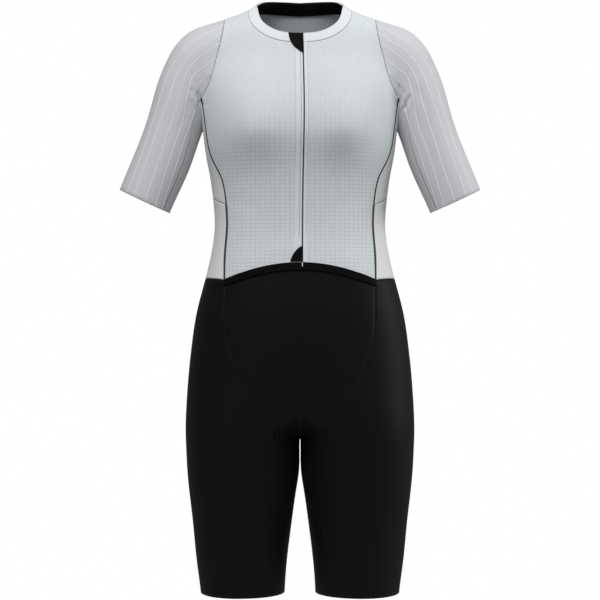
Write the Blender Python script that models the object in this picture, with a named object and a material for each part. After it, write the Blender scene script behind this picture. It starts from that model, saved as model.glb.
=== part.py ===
"""Triathlon suit: a short-sleeved bodice with a front zip, sewn to knee-length shorts, hollow as it is worn.

Metres, +Z up. The wearer faces -Y and has their left at +X. The origin is midway between the shoulders, at
the height where the neckline meets the shoulder seams. Every panel is a wall on one common form, which comes
from two tables of rings, one for the body and legs and one for the arms. Panels meet at shared seam lines.
"""

import bmesh
import bpy
import numpy as np

MM = 0.001

# Driving sizes
CLOTH = 1.5 * MM
BAND_WALL = 1.8 * MM
TAPE_WALL = 1.0 * MM
SEAM_GAP = 0.3 * MM
LEG_HEM = -902 * MM
WAIST_SEAM = -420.5 * MM
ARCH_TOP = -394 * MM
ARCH_SIDE = 113.8 * MM
WAISTBAND_WIDTH = 12 * MM
BAND_TUCK = 6 * MM
HEM_LIFT = 2.2 * MM
HEM_EASE = 50 * MM
NECKBAND_WIDTH = 15 * MM
NECKBAND_LIFT = 0.3 * MM
FACING_WIDTH = 20 * MM
FACING_STEP = 0.5 * MM
ZIP_GAP = 2.0 * MM
ZIP_TAPE_WIDTH = 16 * MM
ZIP_TAPE_DROP = 2.2 * MM
ZIP_TAPE_DROPS = 30
ZIP_TAPE_CLEAR = 1 * MM
TAB_OVERLAP = 0.4 * MM
TAB_LIFT = 1.4 * MM
GARAGE = (21.7 * MM, 31.5 * MM)
GARAGE_POWERS = (1.9, 1.3)
GARAGE_PUFF = 1.2 * MM
GUARD = (17.8 * MM, 23.2 * MM)
GUARD_POWERS = (1.5, 1.5)
FACING_DROP = 2.35 * MM
FACING_TAPER = 3
HEM_SETTLES = 0.86
BAND_TAPER = 0.25
CROTCH_TOP = -582 * MM
CROTCH = -658 * MM
CROTCH_EASE = 0.16
CLEFT = 6 * MM
SLEEVE_LEAN = np.radians(19)
SLEEVE_HEM_TILT = np.radians(6)
SLEEVE_HEM = (240 * MM, -298 * MM)
ARM_TOP = 300 * MM
INSEAM_ANGLE = np.radians(44)

# Rings of the body and of one leg, in mm. width is the outline's half width, and inner the leg's distance
# from the middle. A leg's ring is centred lobe out from the middle. front, middle and back are depths, and
# square is the power of the rounded ring, 2 for an ellipse.
BODY_COLUMNS = ("z", "width", "lobe", "inner", "middle", "front", "back", "square")
BODY_ROWS = (
    (-960, 150.0, 88.0, 23.9, -3, -68.0, 62.0, 2.05),
    (-902, 153.5, 88.4, 23.6, -3, -70.0, 64.0, 2.05),
    (-854, 159.7, 89.8, 20.2, -3, -75.0, 69.0, 2.05),
    (-792, 165.9, 90.0, 12.5, -2, -81.0, 77.0, 2.05),
    (-745, 171.5, 89.5, 5.8, 0, -85.0, 87.0, 2.10),
    (-715, 174.5, 89.0, 1.4, 3, -87.0, 96.0, 2.15),
    (-684, 176.3, 88.0, 0.7, 6, -89.0, 107.0, 2.20),
    (-664, 177.2, 86.0, 0.5, 8, -90.5, 114.0, 2.25),
    (-640, 177.3, 79.0, 0.0, 9, -91.5, 120.0, 2.30),
    (-610, 176.0, 64.0, 0.0, 9, -92.5, 124.0, 2.30),
    (-570, 173.2, 42.0, 0.0, 8, -94.0, 124.5, 2.30),
    (-520, 167.8, 20.0, 0.0, 6, -96.5, 119.0, 2.30),
    (-470, 160.0, 7.0, 0.0, 4, -97.0, 108.0, 2.30),
    (-420, 147.0, 1.0, 0.0, 2, -94.0, 93.0, 2.25),
    (-380, 137.5, 1.0, 0.0, 0, -90.0, 80.0, 2.20),
    (-335, 132.0, 1.0, 0.0, 0, -87.0, 73.0, 2.20),
    (-296, 134.5, 1.0, 0.0, 0, -89.0, 75.0, 2.20),
    (-265, 138.5, 1.0, 0.0, 0, -93.0, 80.0, 2.25),
    (-230, 145.0, 1.0, 0.0, 0, -98.0, 86.0, 2.40),
    (-185, 150.8, 1.0, 0.0, 2, -100.0, 92.0, 2.50),
    (-150, 155.5, 1.0, 0.0, 4, -96.0, 94.0, 2.50),
    (-110, 161.0, 1.0, 0.0, 6, -85.0, 92.0, 2.40),
    (-80, 165.0, 1.0, 0.0, 8, -72.0, 88.0, 2.25),
    (-60, 168.0, 1.0, 0.0, 9, -64.0, 84.0, 2.15),
    (-46, 168.0, 1.0, 0.0, 9, -58.0, 80.0, 2.10),
    (-32, 157.0, 1.0, 0.0, 9, -51.0, 74.0, 2.05),
    (-17, 118.5, 1.0, 0.0, 9, -43.0, 67.0, 2.00),
    (-2, 82.0, 1.0, 0.0, 9, -34.0, 60.0, 2.00),
    (6, 69.0, 1.0, 0.0, 9, -29.0, 56.5, 2.00),
    (20, 63.0, 1.0, 0.0, 9, -20.0, 52.0, 2.00),
    (40, 60.0, 1.0, 0.0, 9, -12.0, 48.0, 2.00),
)

# Rings of one arm, in mm, by their distance up the arm from the sleeve's hem. centre is the ring's offset
# away from the body, and fore its depth.
ARM_COLUMNS = ("up", "centre", "half", "fore", "depth")
ARM_ROWS = (
    (-60, 1, 42.0, -4, 43.0),
    (0, 0, 42.5, -4, 43.5),
    (70, -5, 43.7, -2, 45.0),
    (130, -5.4, 43.6, 0, 46.5),
    (180, -6, 47.2, 2, 49.5),
    (215, -8, 47.5, 4, 51.0),
    (240, -11, 46.0, 5, 50.0),
    (260, -17, 42.0, 6, 46.0),
    (275, -24, 35.5, 7, 38.5),
    (288, -31, 24.0, 8, 26.0),
    (300, -36, 6.0, 8, 7.0),
)

# How far the arm's form eases into the body's, in mm, by height.
EASE_ROWS = ((-210, 2.5), (-186, 3.5), (-150, 13), (-100, 34), (0, 36))

# The fullness over the bust, added to the front depth.
BUST_OUT = 72 * MM
BUST_HEIGHT = -192 * MM
BUST_RISE = 21 * MM
BUST_BRIDGE = 0.5
BUST_WIDE = 46 * MM
BUST_UP = 72 * MM
BUST_DOWN = 44 * MM

# Seam lines of the wearer's left half, in mm: x and z, or x, y and z.
PRINCESS_ROWS = (
    (151.0, -143),
    (148.5, -158),
    (145.8, -176),
    (141.5, -209),
    (132.8, -239),
    (120.5, -263),
    (114.8, -285),
    (111.3, -316),
    (111.0, -345),
    (113.5, -375),
    (113.8, -420.5),
)
ARMHOLE_ROWS = ((142, -127), (134, -109), (128, -86), (122, -63), (118, -42), (116.5, -27))
SHOULDER_TIP = (116, 9, -17)
UNDERARM_ROWS = ((152, -27, -168), (151.5, 2, -184), (152, 31, -168))
NECK_POINT = (80, 9, -2)
NECK_FRONT_ROWS = (
    (4, -60.8),
    (19.7, -59.6),
    (34.0, -57.0),
    (47.3, -52.0),
    (59.3, -44.6),
    (71.4, -32.4),
    (77.7, -18.6),
    (79.5, -8.5),
)
NECK_BACK_ROWS = ((76, 20, 1.0), (67, 31, 3.5), (53, 43, 5.0), (27, 55, 5.0), (0, 58, 4.0))
SHORTS_SEAM_ROWS = (
    (113.3, -441),
    (112.9, -483),
    (109.0, -513),
    (97.5, -542),
    (87.4, -568),
    (67.6, -598),
    (52.9, -628),
    (38.2, -648),
)
ZIP_ROWS = ((-400, 3.6), (-330, 3.8), (-240, 5.2), (-165, 6.4), (-60, 4.6), (-40, 4.4))
CROSS_SEAM = -306.5 * MM
CROSS_MIDDLE = (140, 2, -293)
WAIST_SIDE = (150, 2, -417.5)
GUSSET_BACK = -635 * MM
GUSSET_CORNER = -680 * MM
GUSSET_FRONT_ROW = (33, -663)
GUSSET_BACK_ROW = (19, -654)

# Rows of the seams under a sleeve: distance up the arm in mm, and angle from the side that faces the body.
UNDERSLEEVE_ROWS = ((150, 52), (112, 42), (50, 37), (0, 36))

SIDES = ((-1, "front"), (1, "back"))
TURN = 2 * np.pi
WELD = 0.0001 * MM

# Segments along each seam, and how finely a line is drawn before it is spaced out
FINE = 12
LONG_FINE = 40
DRAWN = 200
PRINCESS_HIGH, PRINCESS_LOW = 9, 6
ARMHOLE = 8
SIDE_ROUND = 8
NECK, SHOULDER = 9, 3
NECKBAND_ROWS = 3
TORSO = SHOULDER + ARMHOLE + PRINCESS_HIGH + PRINCESS_LOW
SLEEVE_DROP = 10
FRONT_HALF = 6
FRONT_DROP, GUSSET_DROP, LEG_DROP = 12, 3, 7
CLEFT_ROUND = 8
BAND_HALF = 10
TAB = 5
COLLECTION = "triathlon_suit"

# Rounds that halve a gap or settle a point, and the reach of the search from the middle
HALVINGS = 40
SETTLE_ROUNDS = 14
STEEPEST = 0.05
REACH = 250 * MM

# The fan of lines that draws the torso's panels above the chest, and the steps along such a line
FAN = -150 * MM
FAN_REACH = 120 * MM
CAST_STEP = 0.7 * MM
CAST_STEPS = 360
EVENING = 4
FRONT_VIEW = np.radians(30)

SHARP = np.radians(50)
ROUGHNESS = 0.65
COLOURS = {
    "mesh": (0.62, 0.66, 0.68),
    "side": (0.66, 0.67, 0.65),
    "sleeve": (0.52, 0.52, 0.55),
    "neckband": (0.78, 0.81, 0.83),
    "black": (0.010, 0.010, 0.011),
}


# ---------------------------------------------------------------- the form


def spline(keys, values):
    """A natural cubic spline through the values, as a function; keys run upwards."""
    keys, values = np.asarray(keys, float), np.asarray(values, float)
    step, rise = np.diff(keys), np.diff(values, axis=0)
    rise = rise / step.reshape((-1,) + (1,) * (values.ndim - 1))
    count = len(keys)
    system, known = np.zeros((count, count)), np.zeros(values.shape)
    system[0, :2], known[0] = (2, 1), 3 * rise[0]
    system[-1, -2:], known[-1] = (1, 2), 3 * rise[-1]
    for i in range(1, count - 1):
        system[i, i - 1 : i + 2] = step[i], 2 * (step[i - 1] + step[i]), step[i - 1]
        known[i] = 3 * (step[i] * rise[i - 1] + step[i - 1] * rise[i])
    slopes = np.linalg.solve(system, known)

    def at(key):
        key = np.clip(key, keys[0], keys[-1])
        i = np.clip(np.searchsorted(keys, key) - 1, 0, count - 2)
        width = keys[i + 1] - keys[i]
        t = (key - keys[i]) / width
        if values.ndim > 1:
            t, width = t[..., None], width[..., None]
        fall = 2 * t**3 - 3 * t**2 + 1
        start = (t**3 - 2 * t**2 + t) * width * slopes[i]
        end = (t**3 - t**2) * width * slopes[i + 1]
        return fall * values[i] + (1 - fall) * values[i + 1] + start + end

    return at


def table(names, rows, plain=()):
    """One spline for each named column of rows in mm, by the first column. Those in plain aren't lengths."""
    cells = np.array(rows, float)
    return {
        name: spline(cells[:, 0] * MM, cells[:, i] * (1 if name in plain else MM))
        for i, name in enumerate(names)
        if i
    }


BODY = table(BODY_COLUMNS, BODY_ROWS, plain=("square",))
ARM = table(ARM_COLUMNS, ARM_ROWS)
EASE = table(("z", "ease"), EASE_ROWS)["ease"]
ZIP_X = table(("z", "x"), ZIP_ROWS)["x"]


def soft_min(a, b, ease):
    """The smaller of two values, eased where they come closer than ease."""
    near = np.maximum(ease - np.abs(a - b), 0) / ease
    return np.minimum(a, b) - near**3 * ease / 6


def fold(x):
    """Distance from the middle plane, flattened close to it so that a cleft has a round bottom."""
    return np.sqrt(x * x + CLEFT**2) - CLEFT


def ring_gap(a, b, per_a, per_b, square):
    """Distance outside a rounded ring, from offsets along its two axes and one over its two half sizes."""
    u = np.abs(a) * per_a + 1e-9
    v = np.abs(b) * per_b + 1e-9
    ring = (u**square + v**square) ** (1 / square)
    slope = np.hypot((u / ring) ** (square - 1) * per_a, (v / ring) ** (square - 1) * per_b)
    return (ring - 1) / slope


def bust(x, z):
    """Depth that the bust adds: two soft rises that the cloth bridges across the middle."""
    off = np.abs(x) - BUST_OUT
    t = np.clip(np.abs(x) / BUST_OUT, 0, 1)
    inside = BUST_BRIDGE + (1 - BUST_BRIDGE) * t * t * (3 - 2 * t)
    across = np.where(off < 0, inside, np.exp(-((off / BUST_WIDE) ** 2)))
    above = z - BUST_HEIGHT
    reach = np.where(above > 0, BUST_UP, BUST_DOWN)
    return BUST_RISE * across * np.exp(-((above / reach) ** 2))


def body_gap(points):
    x, y, z = np.moveaxis(points, -1, 0)
    lobe = BODY["lobe"](z)
    outer = fold(BODY["width"](z)) - lobe
    inner = np.maximum(BODY["inner"](z), 0)
    apart = lobe / (lobe - fold(inner))
    pinch = soft_min(np.maximum((CROTCH_TOP - z) / (CROTCH_TOP - CROTCH), 0), apart, CROTCH_EASE)
    across = fold(x) - lobe
    middle = BODY["middle"](z)
    front = middle - BODY["front"](z) + bust(x, z)
    back = BODY["back"](z) - middle
    per_across = np.where(across > 0, 1 / outer, pinch / lobe)
    per_deep = 1 / np.where(y < middle, front, back)
    return ring_gap(across, y - middle, per_across, per_deep, BODY["square"](z))


def arm_gap(points):
    x, y, z = np.moveaxis(points, -1, 0)
    out, drop = np.abs(x) - SLEEVE_HEM[0], z - SLEEVE_HEM[1]
    up = drop * np.cos(SLEEVE_LEAN) - out * np.sin(SLEEVE_LEAN)
    off = out * np.cos(SLEEVE_LEAN) + drop * np.sin(SLEEVE_LEAN)
    off, deep = off - ARM["centre"](up), y - ARM["fore"](up)
    gap = ring_gap(off, deep, 1 / ARM["half"](up), 1 / ARM["depth"](up), 2)
    return gap + np.maximum(up - ARM_TOP, 0)


def form(points):
    """Distance outside the surface that all the cloth follows, true close to it and below zero inside."""
    return soft_min(body_gap(points), arm_gap(points), EASE(points[..., 2]))


def slope(points, step=0.2 * MM):
    """The form's gradient, which points out of the suit."""
    parts = []
    for axis in range(3):
        shift = np.zeros(3)
        shift[axis] = step
        parts.append((form(points + shift) - form(points - shift)) / (2 * step))
    return np.stack(parts, -1)


def outward(points):
    away = slope(points)
    return away / np.linalg.norm(away, axis=-1, keepdims=True)


def settle(points):
    """The points moved on to the form, straight in or out."""
    points = np.array(points, float)
    for _ in range(SETTLE_ROUNDS):
        away = slope(points)
        size = np.maximum((away**2).sum(-1, keepdims=True), STEEPEST)
        points = points - form(points)[..., None] * away / size
    return points


def on_side(x, z, side):
    """Points on the front (side -1) or back (side 1) of the form, by their place in the front view."""
    x, z = np.broadcast_arrays(np.asarray(x, float), np.asarray(z, float))
    far, near = np.full(x.shape, side * REACH), np.zeros(x.shape) + BODY["middle"](z)
    for _ in range(HALVINGS):
        half = (far + near) / 2
        outside = form(np.stack([x, half, z], -1)) > 0
        far, near = np.where(outside, half, far), np.where(outside, near, half)
    return np.stack([x, near, z], -1)


def arm_point(up, angle):
    """A point on the left arm's ring: angle 0 faces the body, and 90 degrees the front."""
    off = ARM["centre"](up) - ARM["half"](up) * np.cos(angle)
    y = ARM["fore"](up) - ARM["depth"](up) * np.sin(angle)
    x = SLEEVE_HEM[0] + off * np.cos(SLEEVE_LEAN) - up * np.sin(SLEEVE_LEAN)
    z = SLEEVE_HEM[1] + off * np.sin(SLEEVE_LEAN) + up * np.cos(SLEEVE_LEAN)
    return np.stack([x, y, z], -1)


def leg_point(z, angle):
    """A point on the left leg's ring: angle 0 faces the other leg, and 90 degrees the front."""
    lobe, middle, power = BODY["lobe"](z), BODY["middle"](z), 2 / BODY["square"](z)
    inner = lobe - fold(np.maximum(BODY["inner"](z), 0))
    outer = fold(BODY["width"](z)) - lobe
    c, s = np.cos(angle), np.sin(angle)
    side = lobe - np.where(c > 0, inner, outer) * np.sign(c) * np.abs(c) ** power
    deep = np.where(s > 0, middle - BODY["front"](z), BODY["back"](z) - middle)
    x = np.sqrt((side + CLEFT) ** 2 - CLEFT**2)
    return np.stack([x, middle - deep * np.sign(s) * np.abs(s) ** power, z + 0 * x], -1)


# ---------------------------------------------------------------- seam lines


def lengths(line):
    """Distance along a line at each of its points."""
    steps = np.linalg.norm(np.diff(line, axis=0), axis=1)
    return np.concatenate([[0], np.cumsum(steps)])


def shares(line):
    run = lengths(line)
    return run / run[-1]


def spaced(line, count):
    """count + 1 points, evenly spaced along a line of many points."""
    run = lengths(line)
    wanted = np.linspace(0, run[-1], count + 1)
    return np.stack([np.interp(wanted, run, line[:, i]) for i in range(line.shape[1])], -1)


def smooth(points, count):
    """Many evenly spaced points of a smooth line through a few."""
    points = np.asarray(points, float)
    run = lengths(points)
    return spaced(spline(run, points)(np.linspace(0, run[-1], count * FINE)), count * FINE)


def curve(points, count):
    """count + 1 evenly spaced points on the form, of a smooth line near a few points. It keeps their ends."""
    line = spaced(settle(smooth(points, count)), count)
    line[0], line[-1] = points[0], points[-1]
    return line


def flat_curve(rows, side, count):
    """The same for a line given by its x and z in the front view, on the form's front (-1) or back (1)."""
    path = smooth(np.asarray(rows, float), count)
    return spaced(on_side(path[:, 0], path[:, 1], side), count)


def join(*lines):
    """Lines that follow each other, as one."""
    return np.concatenate([lines[0]] + [line[1:] for line in lines[1:]])


def arch(x):
    """Height of the fronts' hem."""
    return ARCH_TOP - (ARCH_TOP - WAIST_SEAM) * (x / ARCH_SIDE) ** 2


def sleeve_hem(angle):
    """A point of the sleeve's hem, whose plane is tilted against the arm."""
    half = ARM["half"](0 * angle)
    up = -half * np.cos(angle) * np.tan(SLEEVE_HEM_TILT)
    return arm_point(up, angle)


def torso_seams(seams):
    """The princess, armhole, underarm, cross and shoulder seams of the wearer's left half."""
    rows = np.array(PRINCESS_ROWS) * MM
    for side, name in SIDES:
        line = on_side(*smooth(rows, LONG_FINE).T, side)
        split = int(np.argmin(np.abs(line[:, 2] - CROSS_SEAM)))
        seams["princess_high_" + name] = spaced(line[: split + 1], PRINCESS_HIGH)
        seams["princess_low_" + name] = spaced(line[split:], PRINCESS_LOW)
    pits = [seams["princess_high_" + name][0] for _, name in SIDES]
    splits = [seams["princess_low_" + name][0] for _, name in SIDES]

    tip = settle(np.array(SHOULDER_TIP) * MM)
    front, back = (on_side(*(np.array(ARMHOLE_ROWS) * MM).T, side) for side, _ in SIDES)
    line = settle(smooth(np.concatenate([pits[:1], front, [tip], back[::-1], pits[1:]]), LONG_FINE))
    split = int(np.argmin(np.linalg.norm(line - tip, axis=1)))
    seams["armhole_front"] = spaced(line[: split + 1], ARMHOLE)
    seams["armhole_back"] = spaced(line[split:], ARMHOLE)
    seams["armhole_front"][0], seams["armhole_back"][-1] = pits
    seams["underarm"] = curve(np.concatenate([pits[:1], np.array(UNDERARM_ROWS) * MM, pits[1:]]), SIDE_ROUND)
    middle = np.array([CROSS_MIDDLE]) * MM
    seams["cross"] = curve(np.concatenate([splits[:1], middle, splits[1:]]), SIDE_ROUND)


def neck_seams(seams):
    """The back neckline, the shoulder seam and the middle of the back."""
    neck = settle(smooth(np.concatenate([[NECK_POINT], NECK_BACK_ROWS]) * MM, NECK))
    seams["neck_back"] = spaced(neck, NECK)
    shoulder = settle(smooth(np.stack([seams["neck_back"][0], seams["armhole_back"][0]]), SHOULDER))
    seams["shoulder"] = spaced(shoulder, SHOULDER)
    top = seams["neck_back"][-1]
    line = [(0, top[2]), (0, (top[2] + WAIST_SEAM) / 2), (0, WAIST_SEAM)]
    seams["centre_back"] = flat_curve(line, 1, TORSO)
    seams["centre_back"][0] = top


def waist_seams(seams):
    """The waist seam from the band's end round to the middle of the back."""
    corners = [seams["princess_low_" + name][-1] for _, name in SIDES]
    around = np.array([WAIST_SIDE]) * MM
    seams["waist_side"] = curve(np.concatenate([corners[:1], around, corners[1:]]), SIDE_ROUND)
    line = [(corners[1][0], WAIST_SEAM), (corners[1][0] / 2, WAIST_SEAM), (0, WAIST_SEAM)]
    seams["waist_back"] = flat_curve(line, 1, NECK)
    seams["waist_back"][0] = corners[1]


def shorts_seams(seams):
    """The seams between the shorts' front, legs and gusset, and the hem."""
    corner = seams["waist_side"][0]
    rows = np.array(SHORTS_SEAM_ROWS) * MM
    seams["shorts"] = flat_curve(np.concatenate([corner[None, ::2], rows]), -1, FRONT_DROP)
    seams["shorts"][0] = corner
    seat = [(0, WAIST_SEAM), (0, (WAIST_SEAM + GUSSET_BACK) / 2), (0, GUSSET_BACK)]
    seams["centre_seat"] = flat_curve(seat, 1, FRONT_DROP)
    (x, z) = rows[-1]
    seams["front_bottom"] = flat_curve([(x, z), (0, z)], -1, FRONT_HALF)
    tops = {"front": seams["front_bottom"][0], "back": seams["centre_seat"][-1]}
    bends = {"front": GUSSET_FRONT_ROW, "back": GUSSET_BACK_ROW}
    for side, name in SIDES:
        z = np.linspace(GUSSET_CORNER, LEG_HEM, LEG_DROP * FINE)
        leg = leg_point(z, 0 * z - side * INSEAM_ANGLE)
        above = flat_curve([tops[name][::2], np.array(bends[name]) * MM, leg[0][::2]], side, GUSSET_DROP)
        above[0], above[-1] = tops[name], leg[0]
        seams["gusset_" + name] = join(above, spaced(leg, LEG_DROP))
    front, back = seams["front_bottom"][-1], tops["back"]
    y = np.linspace(front[1], back[1], CLEFT_ROUND * FINE)
    z = np.interp(y, [front[1], 0, back[1]], [front[2], CROTCH, back[2]])
    seams["cleft"] = spaced(settle(np.stack([0 * y, y, z], -1)), CLEFT_ROUND)
    seams["cleft"][0], seams["cleft"][-1] = front, back
    inner, outer = (-INSEAM_ANGLE, FRONT_HALF + CLEFT_ROUND), (TURN - INSEAM_ANGLE, SIDE_ROUND + NECK)
    for name, (end, count) in (("hem_in", inner), ("hem_out", outer)):
        turn = np.linspace(INSEAM_ANGLE, end, count * FINE)
        seams[name] = spaced(leg_point(LEG_HEM + 0 * turn, turn), count)


def sleeve_seams(seams):
    """The seams under the sleeve, and its hem."""
    ups, angles = np.array(UNDERSLEEVE_ROWS).T
    angles = np.radians(angles)
    for (side, name), pit in zip(SIDES, (seams["underarm"][0], seams["underarm"][-1])):
        line = arm_point(ups * MM, -side * angles)
        line[-1] = sleeve_hem(-side * angles[-1])
        seams["sleeve_" + name] = curve(np.concatenate([[pit], line]), SLEEVE_DROP)
    outer, inner = (TURN - angles[-1], 2 * ARMHOLE), (-angles[-1], SIDE_ROUND)
    for name, (end, count) in (("cuff_out", outer), ("cuff_in", inner)):
        turn = np.linspace(angles[-1], end, count * FINE)
        seams[name] = spaced(settle(sleeve_hem(turn)), count)
        seams[name][0], seams[name][-1] = seams["sleeve_front"][-1], seams["sleeve_back"][-1]


def left_seams():
    """Every seam line of the wearer's left half, by name. They run down, out from the middle or backwards."""
    seams = {}
    torso_seams(seams)
    neck_seams(seams)
    waist_seams(seams)
    shorts_seams(seams)
    sleeve_seams(seams)
    return seams


# ---------------------------------------------------------------- panels


def cast(start, way):
    """The first points outwards where lines from inside leave the form."""
    near, far = np.zeros(way.shape[:-1]), np.full(way.shape[:-1], CAST_STEP)
    for _ in range(CAST_STEPS):
        inside = form(start + way * far[..., None]) < 0
        near, far = np.where(inside, far, near), np.where(inside, far + CAST_STEP, far)
    for _ in range(HALVINGS):
        half = (near + far) / 2
        inside = form(start + way * half[..., None]) < 0
        near, far = np.where(inside, half, near), np.where(inside, far, half)
    return start + way * near[..., None]


def torso_chart(side):
    """Turn about the body from its front (-1) or back (1), and height, fanned out above the chest."""

    def read(points):
        x, y, z = np.moveaxis(points, -1, 0)
        y = side * (y - BODY["middle"](np.minimum(z, FAN)))
        rise = np.arctan2(np.maximum(z - FAN, 0), np.hypot(x, y))
        return np.stack([np.arctan2(x, y), np.minimum(z, FAN) + rise * FAN_REACH], -1)

    def draw(chart):
        turn, height = chart[..., 0], chart[..., 1]
        low, rise = np.minimum(height, FAN), np.maximum(height - FAN, 0) / FAN_REACH
        way = [np.sin(turn) * np.cos(rise), side * np.cos(turn) * np.cos(rise), np.sin(rise)]
        return cast(np.stack([0 * low, BODY["middle"](low), low], -1), np.stack(way, -1))

    return read, draw


def front_chart():
    """Place across and up the front, as seen from above it at FRONT_VIEW."""
    up = np.array([0, np.sin(FRONT_VIEW), np.cos(FRONT_VIEW)])

    def read(points):
        return np.stack([points[..., 0], points @ up], -1)

    def draw(chart):
        x, height = chart[..., 0], chart[..., 1]
        deep = SHOULDER_TIP[1] * MM
        start = np.stack([x, deep + 0 * x, (height - deep * up[1]) / up[2]], -1)
        return cast(start, np.array([0, -up[2], up[1]]) + 0 * start)

    return read, draw


def leg_chart(outside):
    """Turn about the left leg, from the side that faces the other leg by the front, and height."""

    def read(points):
        x, y, z = np.moveaxis(points, -1, 0)
        turn = np.arctan2(BODY["middle"](z) - y, BODY["lobe"](z) - x)
        return np.stack([turn % TURN if outside else turn, z], -1)

    def draw(chart):
        turn, z = chart[..., 0], chart[..., 1]
        start = np.stack([BODY["lobe"](z), BODY["middle"](z), z], -1)
        return cast(start, np.stack([-np.cos(turn), -np.sin(turn), 0 * z], -1))

    return read, draw


def arm_chart(outside):
    """Turn about the left arm, from the side that faces the body by the front, and distance up it."""
    across, along = np.array([np.cos(SLEEVE_LEAN), 0, np.sin(SLEEVE_LEAN)]), np.array([0, 1, 0])
    axis = np.array([-np.sin(SLEEVE_LEAN), 0, np.cos(SLEEVE_LEAN)])
    hem = np.array([SLEEVE_HEM[0], 0, SLEEVE_HEM[1]])

    def read(points):
        up, off = (points - hem) @ axis, (points - hem) @ across
        turn = np.arctan2(ARM["fore"](up) - points[..., 1], ARM["centre"](up) - off)
        return np.stack([turn % TURN if outside else turn, up], -1)

    def draw(chart):
        turn, up = chart[..., :1], chart[..., 1:]
        start = hem + up * axis + ARM["centre"](up) * across + ARM["fore"](up) * along
        return cast(start, -np.cos(turn) * across - np.sin(turn) * along)

    return read, draw


def patch(top, bottom, left, right, chart):
    """A grid of points between four seam lines, drawn on to the form. top and bottom run left to right."""
    u = ((shares(top) + shares(bottom)) / 2)[None, :, None]
    v = ((shares(left) + shares(right)) / 2)[:, None, None]
    read, draw = chart
    top_at, bottom_at, left_at, right_at = (read(line) for line in (top, bottom, left, right))
    across = (1 - u) * left_at[:, None] + u * right_at[:, None]
    down = (1 - v) * top_at[None] + v * bottom_at[None]
    corners_above = (1 - u) * top_at[0] + u * top_at[-1]
    corners_below = (1 - u) * bottom_at[0] + u * bottom_at[-1]
    flat = across + down - (1 - v) * corners_above - v * corners_below
    for _ in range(EVENING):
        around = flat[:-2, 1:-1] + flat[2:, 1:-1] + flat[1:-1, :-2] + flat[1:-1, 2:]
        flat[1:-1, 1:-1] = around / 4
    grid = np.zeros((len(left), len(top), 3))
    grid[1:-1, 1:-1] = draw(flat[1:-1, 1:-1])
    grid[0], grid[-1], grid[:, 0], grid[:, -1] = top, bottom, left, right
    return grid


def mirrored(grid):
    return grid * (-1, 1, 1)


def welded(grids):
    """The points and faces of some grids, joined where they share points, and which points were kept."""
    points, faces, start = [], [], 0
    for grid in grids:
        rows, columns = grid.shape[:2]
        index = np.arange(rows * columns).reshape(rows, columns) + start
        corners = index[:-1, :-1], index[:-1, 1:], index[1:, 1:], index[1:, :-1]
        faces.append(np.stack(corners, -1).reshape(-1, 4))
        points.append(grid.reshape(-1, 3))
        start += rows * columns
    points, faces = np.concatenate(points), np.concatenate(faces)
    _, first, same = np.unique(np.round(points / WELD), axis=0, return_index=True, return_inverse=True)
    return points[first], same.reshape(-1)[faces], first


def edges_of(faces):
    """The edges that only one face has, each with that face's number."""
    seen = {}
    for number, face in enumerate(faces):
        for i in range(4):
            key = tuple(sorted((int(face[i]), int(face[(i + 1) % 4]))))
            seen.setdefault(key, []).append(number)
    return [(a, b, numbers[0]) for (a, b), numbers in seen.items() if len(numbers) == 1]


def drawn_in(points, faces, edges, normals):
    """The points, with those on an edge moved by half a seam's gap into the piece, square to the edge."""
    moves = {}
    for a, b, number in edges:
        along = points[b] - points[a]
        into = np.cross(normals[a] + normals[b], along)
        into /= np.linalg.norm(into)
        if into @ (points[faces[number]].mean(0) - points[a]) < 0:
            into = -into
        for end in (a, b):
            moves.setdefault(end, []).append(into)
    moved = points.copy()
    for end, ways in moves.items():
        opening = 1 + ways[0] @ ways[-1]
        moved[end] += SEAM_GAP / 2 * sum(ways) / max(opening, 1)
    return moved


def material(name):
    found = bpy.data.materials.get(name)
    if found:
        return found
    made = bpy.data.materials.new(name)
    made.use_nodes = True
    shader = made.node_tree.nodes["Principled BSDF"]
    shader.inputs["Base Color"].default_value = (*COLOURS[name], 1)
    shader.inputs["Roughness"].default_value = ROUGHNESS
    shader.inputs["Metallic"].default_value = 0
    return made


def cloth(name, grids, colour, wall=CLOTH, lifts=None):
    """One piece of cloth: a wall under some grids of outer points, each lifted off the form by its lifts."""
    points, faces, first = welded(grids)
    normals = outward(points)
    lifts = lifts or [0] * len(grids)
    lift = [np.broadcast_to(one, grid.shape[:2]).reshape(-1) for one, grid in zip(lifts, grids)]
    lift = np.concatenate(lift)[first]
    edges = edges_of(faces)
    flat = drawn_in(points, faces, edges, normals)
    outer = flat + normals * lift[:, None]
    inner = outer - normals * wall

    shell = bmesh.new()
    top = [shell.verts.new(point) for point in outer]
    under = [shell.verts.new(point) for point in inner]
    for face in faces:
        shell.faces.new([top[i] for i in face])
        shell.faces.new([under[i] for i in reversed(face)])
    for a, b, _ in edges:
        shell.faces.new([top[a], top[b], under[b], under[a]])
    bmesh.ops.recalc_face_normals(shell, faces=shell.faces)
    mesh = bpy.data.meshes.new(name)
    shell.to_mesh(mesh)
    shell.free()
    mesh.materials.append(material(colour))
    mesh.shade_smooth()
    mesh.set_sharp_from_angle(angle=SHARP)
    bpy.data.collections[COLLECTION].objects.link(bpy.data.objects.new(name, mesh))


def hem_lift(grid):
    """How far the fronts stand off the form: they rise to their hem, over the waistband's ends less."""
    x, z = grid[..., 0], grid[..., 2]
    near = np.clip(1 - (z - arch(x)) / HEM_EASE, 0, 1)
    ends = 1 - HEM_SETTLES * (np.abs(x) / ARCH_SIDE) ** 6
    return HEM_LIFT * near * near * (3 - 2 * near) * ends


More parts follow.
